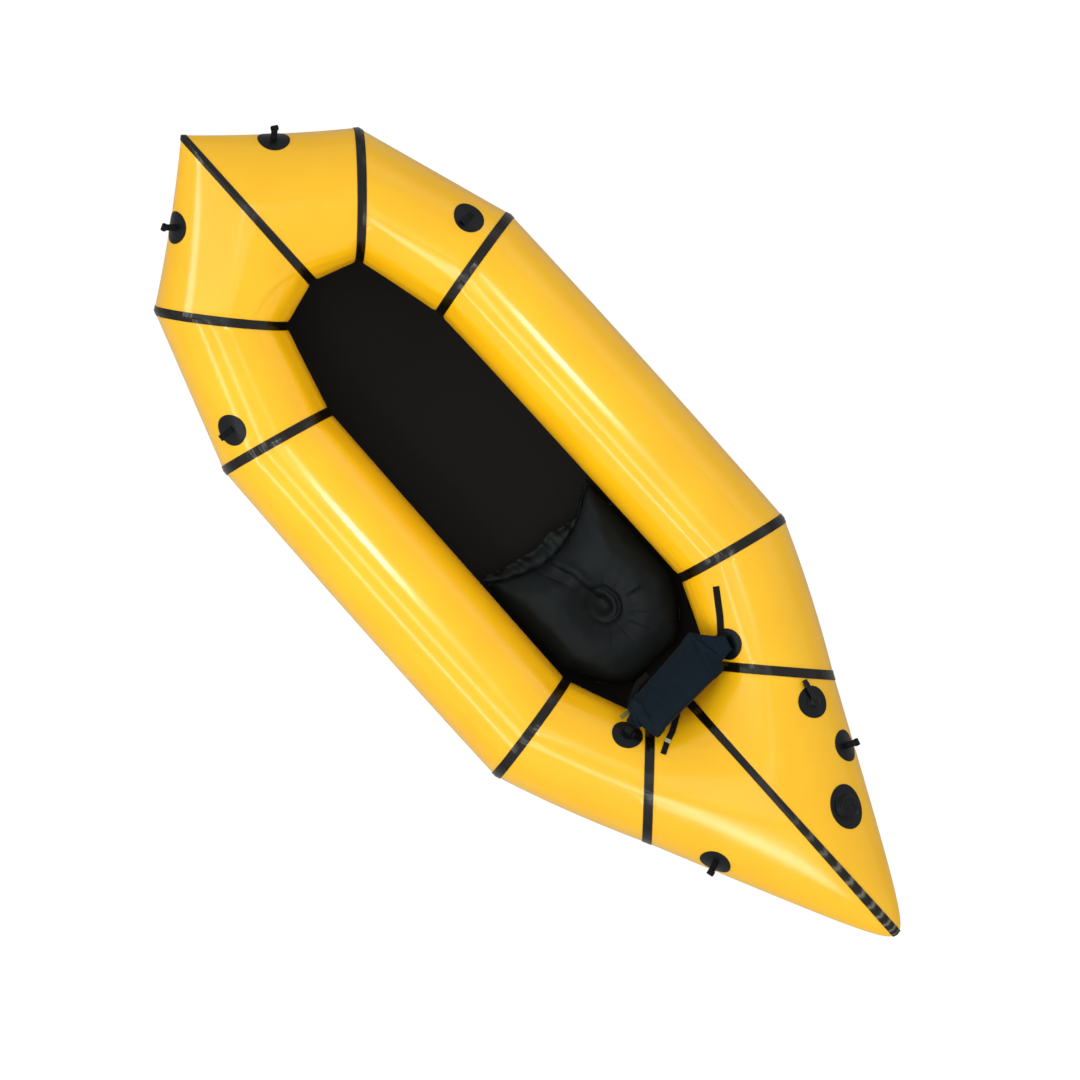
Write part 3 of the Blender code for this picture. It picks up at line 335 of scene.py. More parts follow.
# Seam tapes. Each is a 25 mm strip of the same coated cloth in black, welded over a mitre so that it is
# airtight. It shines where it folds over the bend, and it has small creases across it.

TAPE_WIDTH = 0.025
TAPE_THICKNESS = 0.0006
TAPE_RAISE = 0.0004
TAPE_BLACK = "100D06"

welded_tape, tree, shader = new_finish("welded_tape", {
    "Base Color": linear(TAPE_BLACK), "Roughness": 0.34, "IOR": 1.5, "Specular IOR Level": 0.02,
    "Coat Weight": 0.60, "Coat Roughness": 0.18, "Coat IOR": 1.5})
cloth = add_node(tree, "ShaderNodeTexCoord", {})
stretch = add_node(tree, "ShaderNodeMapping", {"Scale": (30.0, 160.0, 1.0)}, Vector=cloth.outputs["UV"])
creases = add_node(tree, "ShaderNodeTexNoise", {"Scale": 1.0, "Detail": 3.0},
                   Vector=stretch.outputs["Vector"])
relief(tree, shader, creases.outputs["Fac"], 0.5, 0.0006)

# The same tape, gathered round the stern's tip: cross creases 21 mm apart, each painted pale on its crest as
# a painted highlight.
creased_tape = welded_tape.copy()
creased_tape.name = "creased_tape"
tree = creased_tape.node_tree
shader = tree.nodes["Principled BSDF"]
cloth = add_node(tree, "ShaderNodeTexCoord", {})
rungs = add_node(tree, "ShaderNodeTexWave", {"bands_direction": "Y", "Scale": 15.0, "Distortion": 1.6,
                                             "Detail Scale": 40.0}, Vector=cloth.outputs["UV"])
place_in_hull = add_node(tree, "ShaderNodeSeparateXYZ", {}, Vector=cloth.outputs["Object"])
near_tip = add_node(tree, "ShaderNodeMapRange", {"From Min": -0.88, "From Max": -1.12},
                    Value=place_in_hull.outputs["X"])
sharp = add_node(tree, "ShaderNodeMath", {"operation": "POWER", 1: 5.0})
tree.links.new(rungs.outputs["Fac"], sharp.inputs[0])
# painted highlight: pale grey on the crease crests near the stern's tip, where they would catch the light
painted_glint = both(tree, "MULTIPLY", sharp.outputs[0], near_tip.outputs["Result"])
glint_tint = add_node(tree, "ShaderNodeMix", {"data_type": "RGBA", 6: linear(TAPE_BLACK), 7: linear("6E6B5C")},
                   Factor=painted_glint)
tree.links.new(glint_tint.outputs[2], shader.inputs["Base Color"])


def seam_tape(name, seam, side, node):
    """A strip over one mitre, or over the centre line's seam, where side is 0."""
    def place(a, b):
        turn = 2 * math.pi * b
        reach = (a - 0.5) * TAPE_WIDTH
        if side:
            panel, share_way = (seam - 1, -1) if reach < 0 else (seam, 1)
            mirror = side
        else:
            panel, share_way = (0, 1) if seam == 0 else (4, -1)
            mirror = -1 if reach < 0 else 1
        root = seam_point(seam, turn)
        start = 0.0 if share_way > 0 else 1.0
        way = (skin(panel, start + share_way * 0.03, turn) - root).normalized()
        point = root + way * abs(reach)
        out = outward(panel, start + share_way * 0.004, turn)
        if side:
            other = outward(seam if reach < 0 else seam - 1, 0.004 if reach < 0 else 0.996, turn)
        else:
            other = Vector((out.x, -out.y, out.z))
        mix = 0.5 - 0.5 * min(1, abs(reach) / 0.004)
        out = (out * (1 - mix) + other * mix).normalized()
        c, s = math.cos(turn), math.sin(turn)
        ripple = noise.noise(Vector((c * 16, s * 16, seam * 3.1 + side + reach * 60)))
        creases = noise.noise(Vector((c * 52, s * 52, seam * 5.7 + side + reach * 24)))
        point += out * (TAPE_RAISE + 0.0002 * (1 + ripple) + 0.0003 * (1 + creases))
        if seam == 5:
            # the strip is pulled tight round the stern's tip and has cross creases there
            gather = clamp((math.cos(turn + math.pi) - 0.05) / 0.4)
            point += out * 0.0005 * gather * (1 + math.sin(root.x * 300 + 2.0 * noise.noise(root * 20)))
        point.y *= mirror
        return point

    piece = cloth_grid(name, 10, 480, (TAPE_WIDTH, 0.95), place)
    close_and_wall(piece, TAPE_THICKNESS, 1)
    dress(piece, "hull", [node], "black_tape", creased_tape if seam == 5 else welded_tape)


SEAMS = ("bow_centre", "bow_seam", "front_seam", "rear_seam", "stern_seam", "stern_centre")
for seam, seam_name in enumerate(SEAMS):
    if seam in CENTRE_SEAMS:
        seam_tape(f"{seam_name}_strip", seam, 0, f"{seam_name}_tape")
    else:
        for side_name, side in SIDES.items():
            seam_tape(f"{seam_name}_strip_{side_name}", seam, side, f"{seam_name}_tape_{side_name}")


# Floor. One sheet of heavy black cloth, matt on both faces, pulled flat between the tubes and bonded up
# the outside of them in a band.

FLOOR_RAISE = 0.0014
FLOOR_THICKNESS = 0.0015
FLOOR_WRAP_TURN = math.radians(15)
# the share of the sheet's width that lies flat, and how far up the tube's inner side it ends at the tips
FLOOR_FLAT = 0.84
FLOOR_END_TURN = math.radians(25.7)

heavy_cloth, tree, shader = new_finish("heavy_cloth", {
    "Base Color": linear("131313"), "Roughness": 0.8, "Specular IOR Level": 0.12})
cloth = add_node(tree, "ShaderNodeTexCoord", {})
grain = add_node(tree, "ShaderNodeTexVoronoi", {"Scale": 420.0}, Vector=cloth.outputs["Object"])
relief(tree, shader, grain.outputs["Distance"], 0.15, 0.0004)


def floor_place(a, b):
    """Along the hull and across it; about the outer sixth on each side follows the tubes up."""
    position = a * 5
    panel = min(4, int(position))
    share = position - panel
    across = (b - 0.5) * 2
    bend = {0: FLOOR_END_TURN * (1 - share), 4: FLOOR_END_TURN * share}.get(panel, 0)
    wrap = FLOOR_WRAP_TURN * max(0.0, abs(across) - FLOOR_FLAT) / (1 - FLOOR_FLAT)
    turn = math.radians(270) + bend - wrap
    point = skin(panel, share, turn) + outward(panel, share, turn) * FLOOR_RAISE
    point.y *= max(-1.0, min(1.0, across / FLOOR_FLAT))
    return point


floor_cloth = cloth_grid("floor_cloth", 160, 50, (2.0, 0.8), floor_place)
close_and_wall(floor_cloth)
if max(floor_cloth.data.polygons, key=lambda p: p.area).normal.z > 0:
    floor_cloth.data.flip_normals()
add_wall(floor_cloth, FLOOR_THICKNESS, 1)
dress(floor_cloth, "hull", ["floor_sheet"], "black_floor", heavy_cloth)


# Tie-downs. Six rounds of black coated cloth carry webbing loops for lashing gear. The webbing is
# folded in two, its ends spread between the plies of the round, and the fold is left open as an eye.

PATCH_RAISE = 0.0004
PATCH_THICKNESS = 0.0009
FACETS = 28
HINGE_HEIGHT = 0.00856
LOOP_WIDTH = 0.016
WEBBING_THICKNESS = 0.0016

patch_cloth = grainy_finish("black_patch_cloth", {
    "Base Color": linear("080E12"), "Roughness": 0.38, "IOR": 1.5, "Specular IOR Level": 0.16,
    "Coat Weight": 0.14, "Coat Roughness": 0.22, "Coat IOR": 1.4}, 260.0, 2.0, 0.25, 0.0004)

# Webbing: polyester ribs across the strap, 3 mm apart, with a chevron of yarns on them.
black_webbing = threaded_finish("black_webbing", {
    "Base Color": linear("0F1011"), "Roughness": 0.75, "Specular IOR Level": 0.12, "Sheen Weight": 0.05},
    (("X", 105.0), ("DIAGONAL", 150.0)), 0.6, 0.0005, operation="ADD")


def facet_point(panel, share, degrees):
    """On the flat facets of the tube that the fittings are set on."""
    exact = degrees / 360 * FACETS
    low = math.floor(exact)
    return skin(panel, share, 2 * math.pi * low / FACETS).lerp(
        skin(panel, share, 2 * math.pi * (low + 1) / FACETS), exact - low)


def axes(origin, x_axis, y_axis, z_axis):
    """The frame with this origin and these directions."""
    made = Matrix((x_axis, y_axis, z_axis)).transposed().to_4x4()
    made.translation = origin
    return made


def fitting_frame(panel, side, share, degrees):
    """X along the tube, Y round it, Z out of it."""
    along = facet_point(panel, share + 0.01, degrees) - facet_point(panel, share - 0.01, degrees)
    step = 180 / FACETS
    around = facet_point(panel, share, degrees + step) - facet_point(panel, share, degrees - step)
    along.normalize()
    out = around.cross(along).normalized()
    place = facet_point(panel, share, degrees)
    for way in (place, along, out):
        way.y *= side
    return axes(place, along, out.cross(along), out)


def round_patch(name, place, skin_key, radius, boss, node, oval=1.0):
    """A round of cloth on a tube, with a second, smaller ply under it that shows as a low step."""
    bpy.ops.mesh.primitive_circle_add(vertices=60, radius=radius, fill_type="TRIFAN")
    piece = bpy.context.object
    piece.name = name
    bpy.ops.object.mode_set(mode="EDIT")
    bpy.ops.mesh.select_all(action="SELECT")
    bpy.ops.mesh.subdivide(number_cuts=7)
    bpy.ops.object.mode_set(mode="OBJECT")
    out = place.to_3x3() @ Vector((0, 0, 1))
    for vertex in piece.data.vertices:
        reach = vertex.co.length / radius
        step = clamp((0.62 - reach) / 0.05)
        step = step * step * (3 - 2 * step)
        rise = PATCH_RAISE + 0.0005 * step + boss * ridge(reach, 0.22)
        vertex.co.y *= oval
        start = place @ vertex.co + out * 0.06
        hit = bvh[skin_key].ray_cast(start, -out)[0]
        vertex.co = (hit or place @ vertex.co) + out * rise
    close_and_wall(piece, PATCH_THICKNESS, 1)
    dress(piece, "hull", [node], "black_patch", patch_cloth, 55)


def strap_on_path(name, path, width, thickness, place, body, nodes):
    """A closed belt of webbing along a path in the XZ plane of a frame, its width along Y."""
    steps = len(path)
    length = sum((Vector(path[(k + 1) % steps]) - Vector(path[k])).length for k in range(steps))

    def on_path(a, b):
        x, z = path[round(a * steps) % steps]
        return place @ Vector((x, (b - 0.5) * width, z))

    piece = cloth_grid(name, steps, 6, (length, width), on_path)
    close_and_wall(piece, thickness, 0)
    round_edges(piece, thickness * 0.3, 2, 50)
    dress(piece, body, nodes, "webbing", black_webbing, 50)


def eye_path():
    """A lashing loop from the side: two plies from the round up to a teardrop eye."""
    half = []
    for k in range(7):
        half.append((0.0011 + 0.0032 * (1 - k / 6) ** 2, -0.0062 + 0.0150 * k / 6))
    eye, middle = 0.0062, 0.0236
    for k in range(1, 19):
        turn = math.radians(-128 + 218 * k / 18)
        x, z = eye * math.cos(turn), middle + eye * math.sin(turn)
        if turn > -math.pi / 2 - 0.2:
            half.append((max(0.0011, x) if turn < -0.9 else x, z))
    half = [half[0]] + [p for k, p in enumerate(half[1:], 1) if p[1] >= half[k - 1][1] - 0.0005]
    left = [(-x, z) for x, z in reversed(half) if abs(x) > 0.0003]
    return half + left


TIES = {"bow_tie": (0, 0.49, 156.0, (0, 1, 0), {"port": 0, "starboard": 0}),
        "shoulder_tie": (1, 0.80, 126.0, (1, 0, 0), {"port": -35, "starboard": -84}),
        "stern_tie": (4, 0.27, 150.0, (1, 0, 0), {"port": 0, "starboard": 0})}
for tie, (panel, share, degrees, hole, leans) in TIES.items():
    for side_name, side in SIDES.items():
        place = fitting_frame(panel, side, share, degrees)
        round_patch(f"{tie}_round_{side_name}", place, (panel, side_name), 0.040, 0.0006,
                    f"{tie}_patch_{side_name}")
        out = place.to_3x3() @ Vector((0, 0, 1))
        width_way = Vector(hole)
        width_way = (width_way - out * width_way.dot(out)).normalized()
        loop = axes(place.translation + out * HINGE_HEIGHT, width_way.cross(out), width_way, out)
        loop = loop @ Matrix.Rotation(math.radians(leans[side_name]), 4, "Y")
        strap_on_path(f"{tie}_eye_{side_name}", eye_path(), LOOP_WIDTH, WEBBING_THICKNESS, loop,
                      f"{tie}_loop_{side_name}", [f"{tie}_loop_{side_name}"])


# Seat. A low air cushion of matt black coated cloth, drawn down by one weld in its middle, which
# gathers the cloth in folds round it. Its flat welded edge shows as a wavy border in front.

SEAT_BASE = 0.0013
SEAT_LENGTH = 0.440
SEAT_WIDTH = 0.352
SEAT_REAR_WIDTH = 0.215
SEAT_TAPER = 0.130
SEAT_HEIGHT = 0.090
SEAT_EDGE = 0.045
SEAT_FRONT = 0.024
SEAT_FRONT_CURVE = 0.074
SEAT_SLANT = math.tan(math.radians(4.0))
SEAT_WELD = Vector((-0.232, -0.002))
SEAT_FLANGE = 0.011
# the share of the cloth's way that is upper cloth; the rest goes down the side to the foot
SEAT_TOP_SHARE = 0.86
# the floor starts to rise here, and by this much a metre towards the stern
FLOOR_RISE_START = -0.330
FLOOR_RISE = 0.058

seat_cloth = grainy_finish("seat_cloth", {
    "Base Color": linear("0B1214"), "Roughness": 0.46, "Specular IOR Level": 0.14}, 500.0, 2.0, 0.12, 0.0004)


def seat_front(y):
    """How far the seat's front edge lies behind its foremost line."""
    return SEAT_FRONT_CURVE * (1 - (2 * y / SEAT_WIDTH) ** 2) + y * SEAT_SLANT + SEAT_FLANGE


def seat_depths(x, y):
    """How far a point lies inside the seat's front, side and back edges."""
    back = SEAT_FRONT - x
    taper = max(0.0, (back - SEAT_LENGTH + SEAT_TAPER) / SEAT_TAPER)
    half = SEAT_WIDTH / 2 + (SEAT_REAR_WIDTH - SEAT_WIDTH) / 2 * taper
    corner = clamp((abs(y) / max(half, 0.01) - 0.6) / 0.4) ** 3
    return back - seat_front(y) - 0.002 * corner, half - abs(y), SEAT_LENGTH - 0.05 * corner - back


def seat_reach(turn):
    """From the weld to the outline of the seat, in a direction."""
    way = Vector((math.cos(turn), math.sin(turn)))
    low, high = 0.0, SEAT_LENGTH
    for _ in range(26):
        reach = (low + high) / 2
        point = SEAT_WELD + way * reach
        if min(seat_depths(point.x, point.y)) > 0:
            low = reach
        else:
            high = reach
    return low


# Creases round the weld, seen from it: direction, where each starts and ends, how far it drifts, depth
SEAT_CREASES = ((-1.89, 0.062, 0.136, 0.08, 0.0100), (-2.46, 0.074, 0.130, 0.06, 0.0046),
                (-2.80, 0.070, 0.150, 0.09, 0.0066), (-1.30, 0.044, 0.088, 0.05, 0.0040),
                (-0.77, 0.044, 0.072, 0.05, 0.0030), (1.98, 0.044, 0.086, -0.10, 0.0044),
                (2.75, 0.052, 0.100, -0.12, 0.0038), (3.08, 0.054, 0.116, 0.04, 0.0034),
                (-1.60, 0.048, 0.078, 0.03, 0.0026), (2.35, 0.048, 0.078, 0.05, 0.0026),
                (1.45, 0.046, 0.074, 0.05, 0.0022))


def seat_top(x, y):
    """Height of the seat's upper cloth above the floor."""
    dx, dy = x - SEAT_WELD.x, y - SEAT_WELD.y
    distance = math.hypot(dx, dy)
    turn = math.atan2(dy, dx)
    depths = seat_depths(x, y)
    depths_in = (depths[0], depths[1] * 1.1, depths[2])
    inside = max(0.0, -0.016 * math.log(sum(math.exp(-max(-0.1, d) / 0.016) for d in depths_in)) + 0.004)
    rim = min(1.0, inside / 0.120)
    height = SEAT_EDGE + (SEAT_HEIGHT - SEAT_EDGE) * math.sqrt(max(0.0, 1 - (1 - rim) ** 2))
    height -= 0.032 * ridge(distance, 0.062)
    # the weld draws in a round dimple, with a raised rim on its starboard and back sides
    lean = 0.5 + 0.5 * math.cos(turn + 2.25)
    across = math.hypot(dx * 0.86 + dy * 0.18, dy * 0.98 - dx * 0.10)
    across += 0.0030 * noise.noise(Vector((math.cos(turn) * 2.2, math.sin(turn) * 2.2, 6.6)))
    height += 0.0070 * ridge(across - 0.025, 0.0090) * (0.08 + 0.92 * lean)
    height -= 0.0040 * ridge(across - 0.0375, 0.0046) * lean
    height += 0.0030 * ridge(across - 0.048, 0.0070) * lean
    height -= 0.0060 * ridge(across, 0.020)
    for way, start, end, drift, depth in SEAT_CREASES:
        share = (distance - start) / (end - start)
        if -0.4 < share < 1.4:
            away = turn - way - drift * share
            off = math.atan2(math.sin(away), math.cos(away)) * distance
            band = clamp((share + 0.15) / 0.3) * clamp((1.2 - share) / 0.7)
            sharp = 0.0040 + 0.0030 * abs(noise.noise(Vector((way * 3.1, 5.5, 1.2))))
            height -= depth * 0.62 * band * math.exp(-abs(off) / sharp)
            height += depth * 0.40 * band * ridge(off, 0.0135)
    # the long crease from the weld to the middle of the front edge, with the cloth rolled over it
    if dx > 0.004:
        waver = 0.006 * noise.noise(Vector((dx * 17, 2.2, 5.1)))
        waver += 0.003 * noise.noise(Vector((dx * 52, 4.4, 1.3)))
        line = 0.032 * (dx / 0.197) ** 1.3 - 0.008 * ridge(dx, 0.05) + waver
        off = dy - line
        band = min(1.0, (dx - 0.004) / 0.03)
        uneven = 0.75 + 0.5 * noise.noise(Vector((dx * 30, 7.7, 2.8)))
        height -= 0.0090 * band * ridge(off - 0.013, 0.022) * uneven
        height -= 0.0050 * band * math.exp(-abs(off) / 0.0050) * uneven
        height += 0.0050 * band * ridge(off + 0.015, 0.013)
        height -= 0.0032 * ridge(dx - 0.135, 0.055) * math.exp(-abs(off - 0.024 - 0.12 * (dx - 0.1)) / 0.005)
    height += 0.0030 * noise.noise(Vector((x * 11, y * 11, 3.1))) * rim
    height += 0.0012 * noise.noise(Vector((x * 34, y * 34, 1.7)))
    # puckers that run back from the welded front edge
    pucker = noise.noise(Vector((y * 46, x * 7, 8.4)))
    height += 0.0060 * pucker * math.exp(-max(0.0, depths[0]) / 0.030)
    return height


def seat_place(a, b):
    """Round the seat, and from the weld over the top and down the side to the foot."""
    turn = 2 * math.pi * a
    reach = seat_reach(turn)
    way = Vector((math.cos(turn), math.sin(turn)))
    if b <= SEAT_TOP_SHARE:
        share = min(1.0, (b / SEAT_TOP_SHARE) ** 0.9)
        point = SEAT_WELD + way * reach * share
        return Vector((point.x, point.y, SEAT_BASE + seat_top(point.x, point.y)))
    down = (b - SEAT_TOP_SHARE) / (1 - SEAT_TOP_SHARE)
    edge_point = SEAT_WELD + way * reach
    point = SEAT_WELD + way * reach * (1 - 0.07 * down ** 2)
    gather = 0.0015 * noise.noise(Vector((math.cos(turn) * 14, math.sin(turn) * 14, down * 2)))
    gather *= down * (1 - down) * 4
    floor_rise = max(0.0, FLOOR_RISE_START - point.x) * FLOOR_RISE
    low = SEAT_BASE + 0.0005
    height = low + (seat_top(edge_point.x, edge_point.y) - 0.0005) * (1 - down)
    return Vector((point.x + way.x * gather, point.y + way.y * gather, max(height, low + floor_rise)))


seat = cloth_grid("seat", 360, 150, (1.4, 0.28), seat_place)
bpy.ops.object.mode_set(mode="EDIT")
close_ends(0.00003)
dress(seat, "hull", ["seat_cushion"], "seat_fabric", seat_cloth, 70)


def smooth_between(value, knots):
    """A curve through (position, value) pairs with level ends."""
    for (x0, y0), (x1, y1) in zip(knots, knots[1:]):
        if value <= x1:
            t = (value - x0) / (x1 - x0)
            return y0 + (y1 - y0) * t * t * (3 - 2 * t)
    return knots[-1][1]


# fore edge of the welded flange: (y, x) from starboard to port
SEAT_FLANGE_LINE = ((-0.176, 0.018), (-0.150, 0.010), (-0.130, 0.000), (-0.097, -0.024), (-0.060, -0.022),
                    (-0.016, -0.012), (0.032, -0.017), (0.093, -0.007), (0.137, 0.005), (0.176, 0.018))


def border_place(a, b):
    """The welded edge: a puckered flange that stands out from the side of the seat, widest in front."""
    turn = 2 * math.pi * a
    way = Vector((math.cos(turn), math.sin(turn)))
    reach = seat_reach(turn)
    point = SEAT_WELD + way * reach
    front = clamp(1 - seat_depths(point.x, point.y)[0] / 0.02) * clamp((point.x + 0.09) / 0.03)
    wave = noise.noise(Vector((point.y * 30, 1.0, 5.3)))
    quick_wave = noise.noise(Vector((point.y * 50, b * 1.6, 9.1)))
    point = SEAT_WELD + way * (reach - 0.003 + 0.004 * b)
    line = smooth_between(point.y, SEAT_FLANGE_LINE) if abs(point.y) < 0.176 else point.x
    point.x += front * b * (max(0.006, line - point.x) + 0.0025 * wave)
    height = SEAT_BASE + 0.026 + 0.013 * front - 0.004 * b * front
    height += front * math.sin(math.pi * min(1, b * 1.2)) * 0.006
    height += b ** 0.6 * front * (0.009 * wave + 0.010 * quick_wave)
    return Vector((point.x, point.y, max(0.012, height)))


seat_border = cloth_grid("seat_border", 640, 18, (1.4, 0.04), border_place)
close_and_wall(seat_border, 0.0012, 0)
dress(seat_border, "hull", [], "seat_fabric", seat_cloth, 70)


# Backrest. A foam pad in a navy woven cover, leaning back on webbing straps from two loops on the rear
# shoulders. The cover is bound along its edges and narrows to a flat mouth at each end.

BACKREST_WIDTH = 0.250
BACKREST_HEIGHT = 0.124
BACKREST_DEPTH = 0.044
BACKREST_LEAN = math.radians(50.0)
ANCHOR_LOOP_HEIGHT = 0.0165
ANCHOR_LOOP_WIDTH = 0.012
CLEARANCE = 0.0003
PATCH_TOP = PATCH_RAISE + PATCH_THICKNESS
# a flat foot stands this much off the middle of a facet
SEAT_LIFT = 0.00046
STRAP_WIDTH = 0.018
STRAP_WALL = 0.0015
STRAP_ANCHOR_RADIUS = 0.0095
BUCKLE_LENGTH = 0.020
BUCKLE_WIDTH = 0.030
BUCKLE_THICKNESS = 0.0036
BUCKLE_BAR = 0.0034

# Woven cover: its threads are drawn 2.4 mm apart so that they show.
backrest_cloth = threaded_finish("backrest_cloth", {
    "Base Color": linear("0D1A24"), "Roughness": 0.68, "Specular IOR Level": 0.09, "Sheen Weight": 0.04,
    "Sheen Roughness": 0.4}, (("X", 130.0), ("Y", 130.0)), 0.35, 0.0004)


def anchor_point(side):
    """The middle of an anchor's patch, the way out of it, and the middle of its loop's top run."""
    place = fitting_frame(3, side, 0.77, 52.0)
    out = place.to_3x3() @ Vector((0, 0, 1))
    return place, out, place.translation + out * (PATCH_TOP + ANCHOR_LOOP_HEIGHT)


pad_centre = Vector((anchor_point(1)[2].x + 0.008, 0, anchor_point(1)[2].z - 0.004))
pad_frame = Matrix.Translation(pad_centre) @ Matrix.Rotation(-BACKREST_LEAN, 4, "Y")


def strap_axes(side):
    """From the anchor's bar to the mouth of the pad, with its length: Z along the strap, Y its width.
    Then the frame of the loop that it hangs from."""
    place, out, bar = anchor_point(side)
    run = pad_frame @ Vector((0, side * BACKREST_WIDTH / 2, 0)) - bar
    along = run.cross(out).normalized()
    way = run.normalized()
    arch = axes(place.translation, along, out.cross(along), out)
    return axes(bar, along.cross(way), along, way), run.length, arch


strap_width_way = strap_axes(1)[0].to_3x3() @ Vector((0, 1, 0))
mouth_twist = math.atan2(abs(strap_width_way.x), abs(strap_width_way.z)) - BACKREST_LEAN

# half the pad's height and depth along it, as shares of the middle's: (share of the way to a mouth, share)
PAD_TALL = ((0, 1.0), (0.66, 1.0), (0.84, 0.96), (0.94, 0.84), (1.0, 0.52))
PAD_DEEP = ((0, 1.0), (0.50, 0.98), (0.80, 0.88), (0.94, 0.58), (1.0, 0.19))


def pad_slant(across, low_to_high):
    """The pad hangs a little askew: how far its lower and upper edges are shifted along its plane."""
    lower = -0.002 + 0.020 * across
    upper = 0.008 + 0.0085 * across
    return lower + (upper - lower) * low_to_high


def pad_end(across):
    """0 over the pad's middle, and up to 1 at each mouth."""
    return max(0.0, (abs(across) - 0.55) / 0.45)


def pad_sway(across, high):
    """How far the pad's edges wave up and down, more so towards the mouths."""
    return 0.0035 * noise.noise(Vector((across * 9, high * 2, 3.3))) * (0.25 + pad_end(across))


def on_pad(x, across, z):
    """A point of the pad's section, twisted towards the mouths so that they meet the straps."""
    spin = Matrix.Rotation(-mouth_twist * pad_end(across) ** 2, 4, "Y")
    return pad_frame @ spin @ Vector((x, across * BACKREST_WIDTH / 2, z))


def pad_place(a, b):
    """Round the pad's section, and from its starboard mouth to its port mouth."""
    turn = 2 * math.pi * a
    across = 2 * b - 1
    reach = abs(across)
    tall = BACKREST_HEIGHT / 2 * smooth_between(reach, PAD_TALL)
    deep = BACKREST_DEPTH / 2 * smooth_between(reach, PAD_DEEP)
    c, s = math.cos(turn), math.sin(turn)
    x = deep * math.copysign(abs(c) ** 0.75, c)
    z = tall * math.copysign(abs(s) ** 0.62, s)
    end = pad_end(across)
    crumple = noise.noise(Vector((c * 2.4, s * 3.6, across * 7)))
    pulls = noise.noise(Vector((z * 70, 4.2, across * 3.0)))
    # folds that run in from each end, slanting down to the back
    slant = z * 46 + (1 - reach) * 19 * (1 if across > 0 else -1)
    folds = 0.5 - abs(noise.noise(Vector((slant, 2.0 if across > 0 else 7.0, reach * 2))))
    swell = 0.0022 * crumple * (0.5 + end) + 0.0040 * pulls * end * (1 - end ** 3)
    swell += 0.0052 * (folds - 0.3) * math.sin(math.pi * min(1.0, end * 1.15))
    x += swell * (1 if c > 0 else -1) * min(1.0, abs(c) * 2)
    z += pad_sway(across, s)
    high = 0.5 + 0.5 * math.copysign(abs(s) ** 0.62, s)
    z += pad_slant(across, high) * min(1.0, (1 - reach) / 0.08)
    return on_pad(x, across, z)


pad = cloth_grid("backrest_pad", 200, 260, (0.31, 0.26), pad_place)
close_and_wall(pad)
dress(pad, "backrest", ["backrest_cover", "backrest_core"], "backrest_fabric", backrest_cloth, 70)


def binding_place(side_way):
    """Places for a tape that is folded over the pad's upper edge (1) or its lower one (-1)."""
    def place(a, b):
        across = (2 * a - 1) * 0.93
        tall = BACKREST_HEIGHT / 2 * smooth_between(abs(across), PAD_TALL)
        turn = (b - 0.5) * math.pi
        z = side_way * (tall - 0.0010 + 0.0018 * math.cos(turn)) + pad_sway(across, side_way)
        return on_pad(0.0030 * math.sin(turn), across, z + pad_slant(across, 0.5 + 0.5 * side_way))
    return place


for side_way, edge_name in ((1, "upper"), (-1, "lower")):
    binding = cloth_grid(f"backrest_binding_{edge_name}", 120, 8, (0.24, 0.012), binding_place(side_way))
    close_and_wall(binding, 0.0008, 1)
    dress(binding, "backrest", [], "webbing", black_webbing, 60)


# Anchors and straps. Each anchor is a round patch with a low arch of webbing. A short strap runs from
# the arch through a ladder-lock buckle into the pad, and its spare end lies on the tube.

buckle_plastic = grainy_finish("buckle_acetal", {
    "Base Color": linear("0B0D10"), "Roughness": 0.34, "IOR": 1.48, "Specular IOR Level": 0.2},
    900.0, 1.0, 0.08, 0.0002)
PLASTIC = ("black_plastic", buckle_plastic)


def round_belt(low_radius, high_radius, distance, steps):
    """A belt round two bars, as (x, z) points."""
    lean = math.asin((low_radius - high_radius) / distance)
    path = []
    for k in range(steps + 1):
        turn = math.pi - lean + (math.pi + 2 * lean) * k / steps
        path.append((low_radius * math.cos(turn), low_radius * math.sin(turn)))
    for k in range(1, 6):
        path.append(tuple(Vector(path[steps]).lerp(Vector((high_radius, distance)), k / 6)))
    for k in range(steps + 1):
        turn = lean + (math.pi - 2 * lean) * k / steps
        path.append((high_radius * math.cos(turn), distance + high_radius * math.sin(turn)))
    last = path[-1]
    for k in range(1, 6):
        start = last if k == 1 else (-high_radius, distance)
        path.append(tuple(Vector(start).lerp(Vector(path[0]), k / 6)))
    return path


def arch_path():
    """The anchor's loop from the side: a low rounded box that stands on its patch."""
    foot = PATCH_TOP + CLEARANCE + SEAT_LIFT + STRAP_WALL / 2
    rise = PATCH_TOP + ANCHOR_LOOP_HEIGHT - foot
    path = []
    for k in range(56):
        turn = 2 * math.pi * k / 56
        c, s = math.cos(turn), math.sin(turn)
        path.append((0.017 * math.copysign(abs(c) ** 0.6, c),
                     foot + rise * (0.5 + 0.5 * math.copysign(abs(s) ** 0.45, s))))
    return path


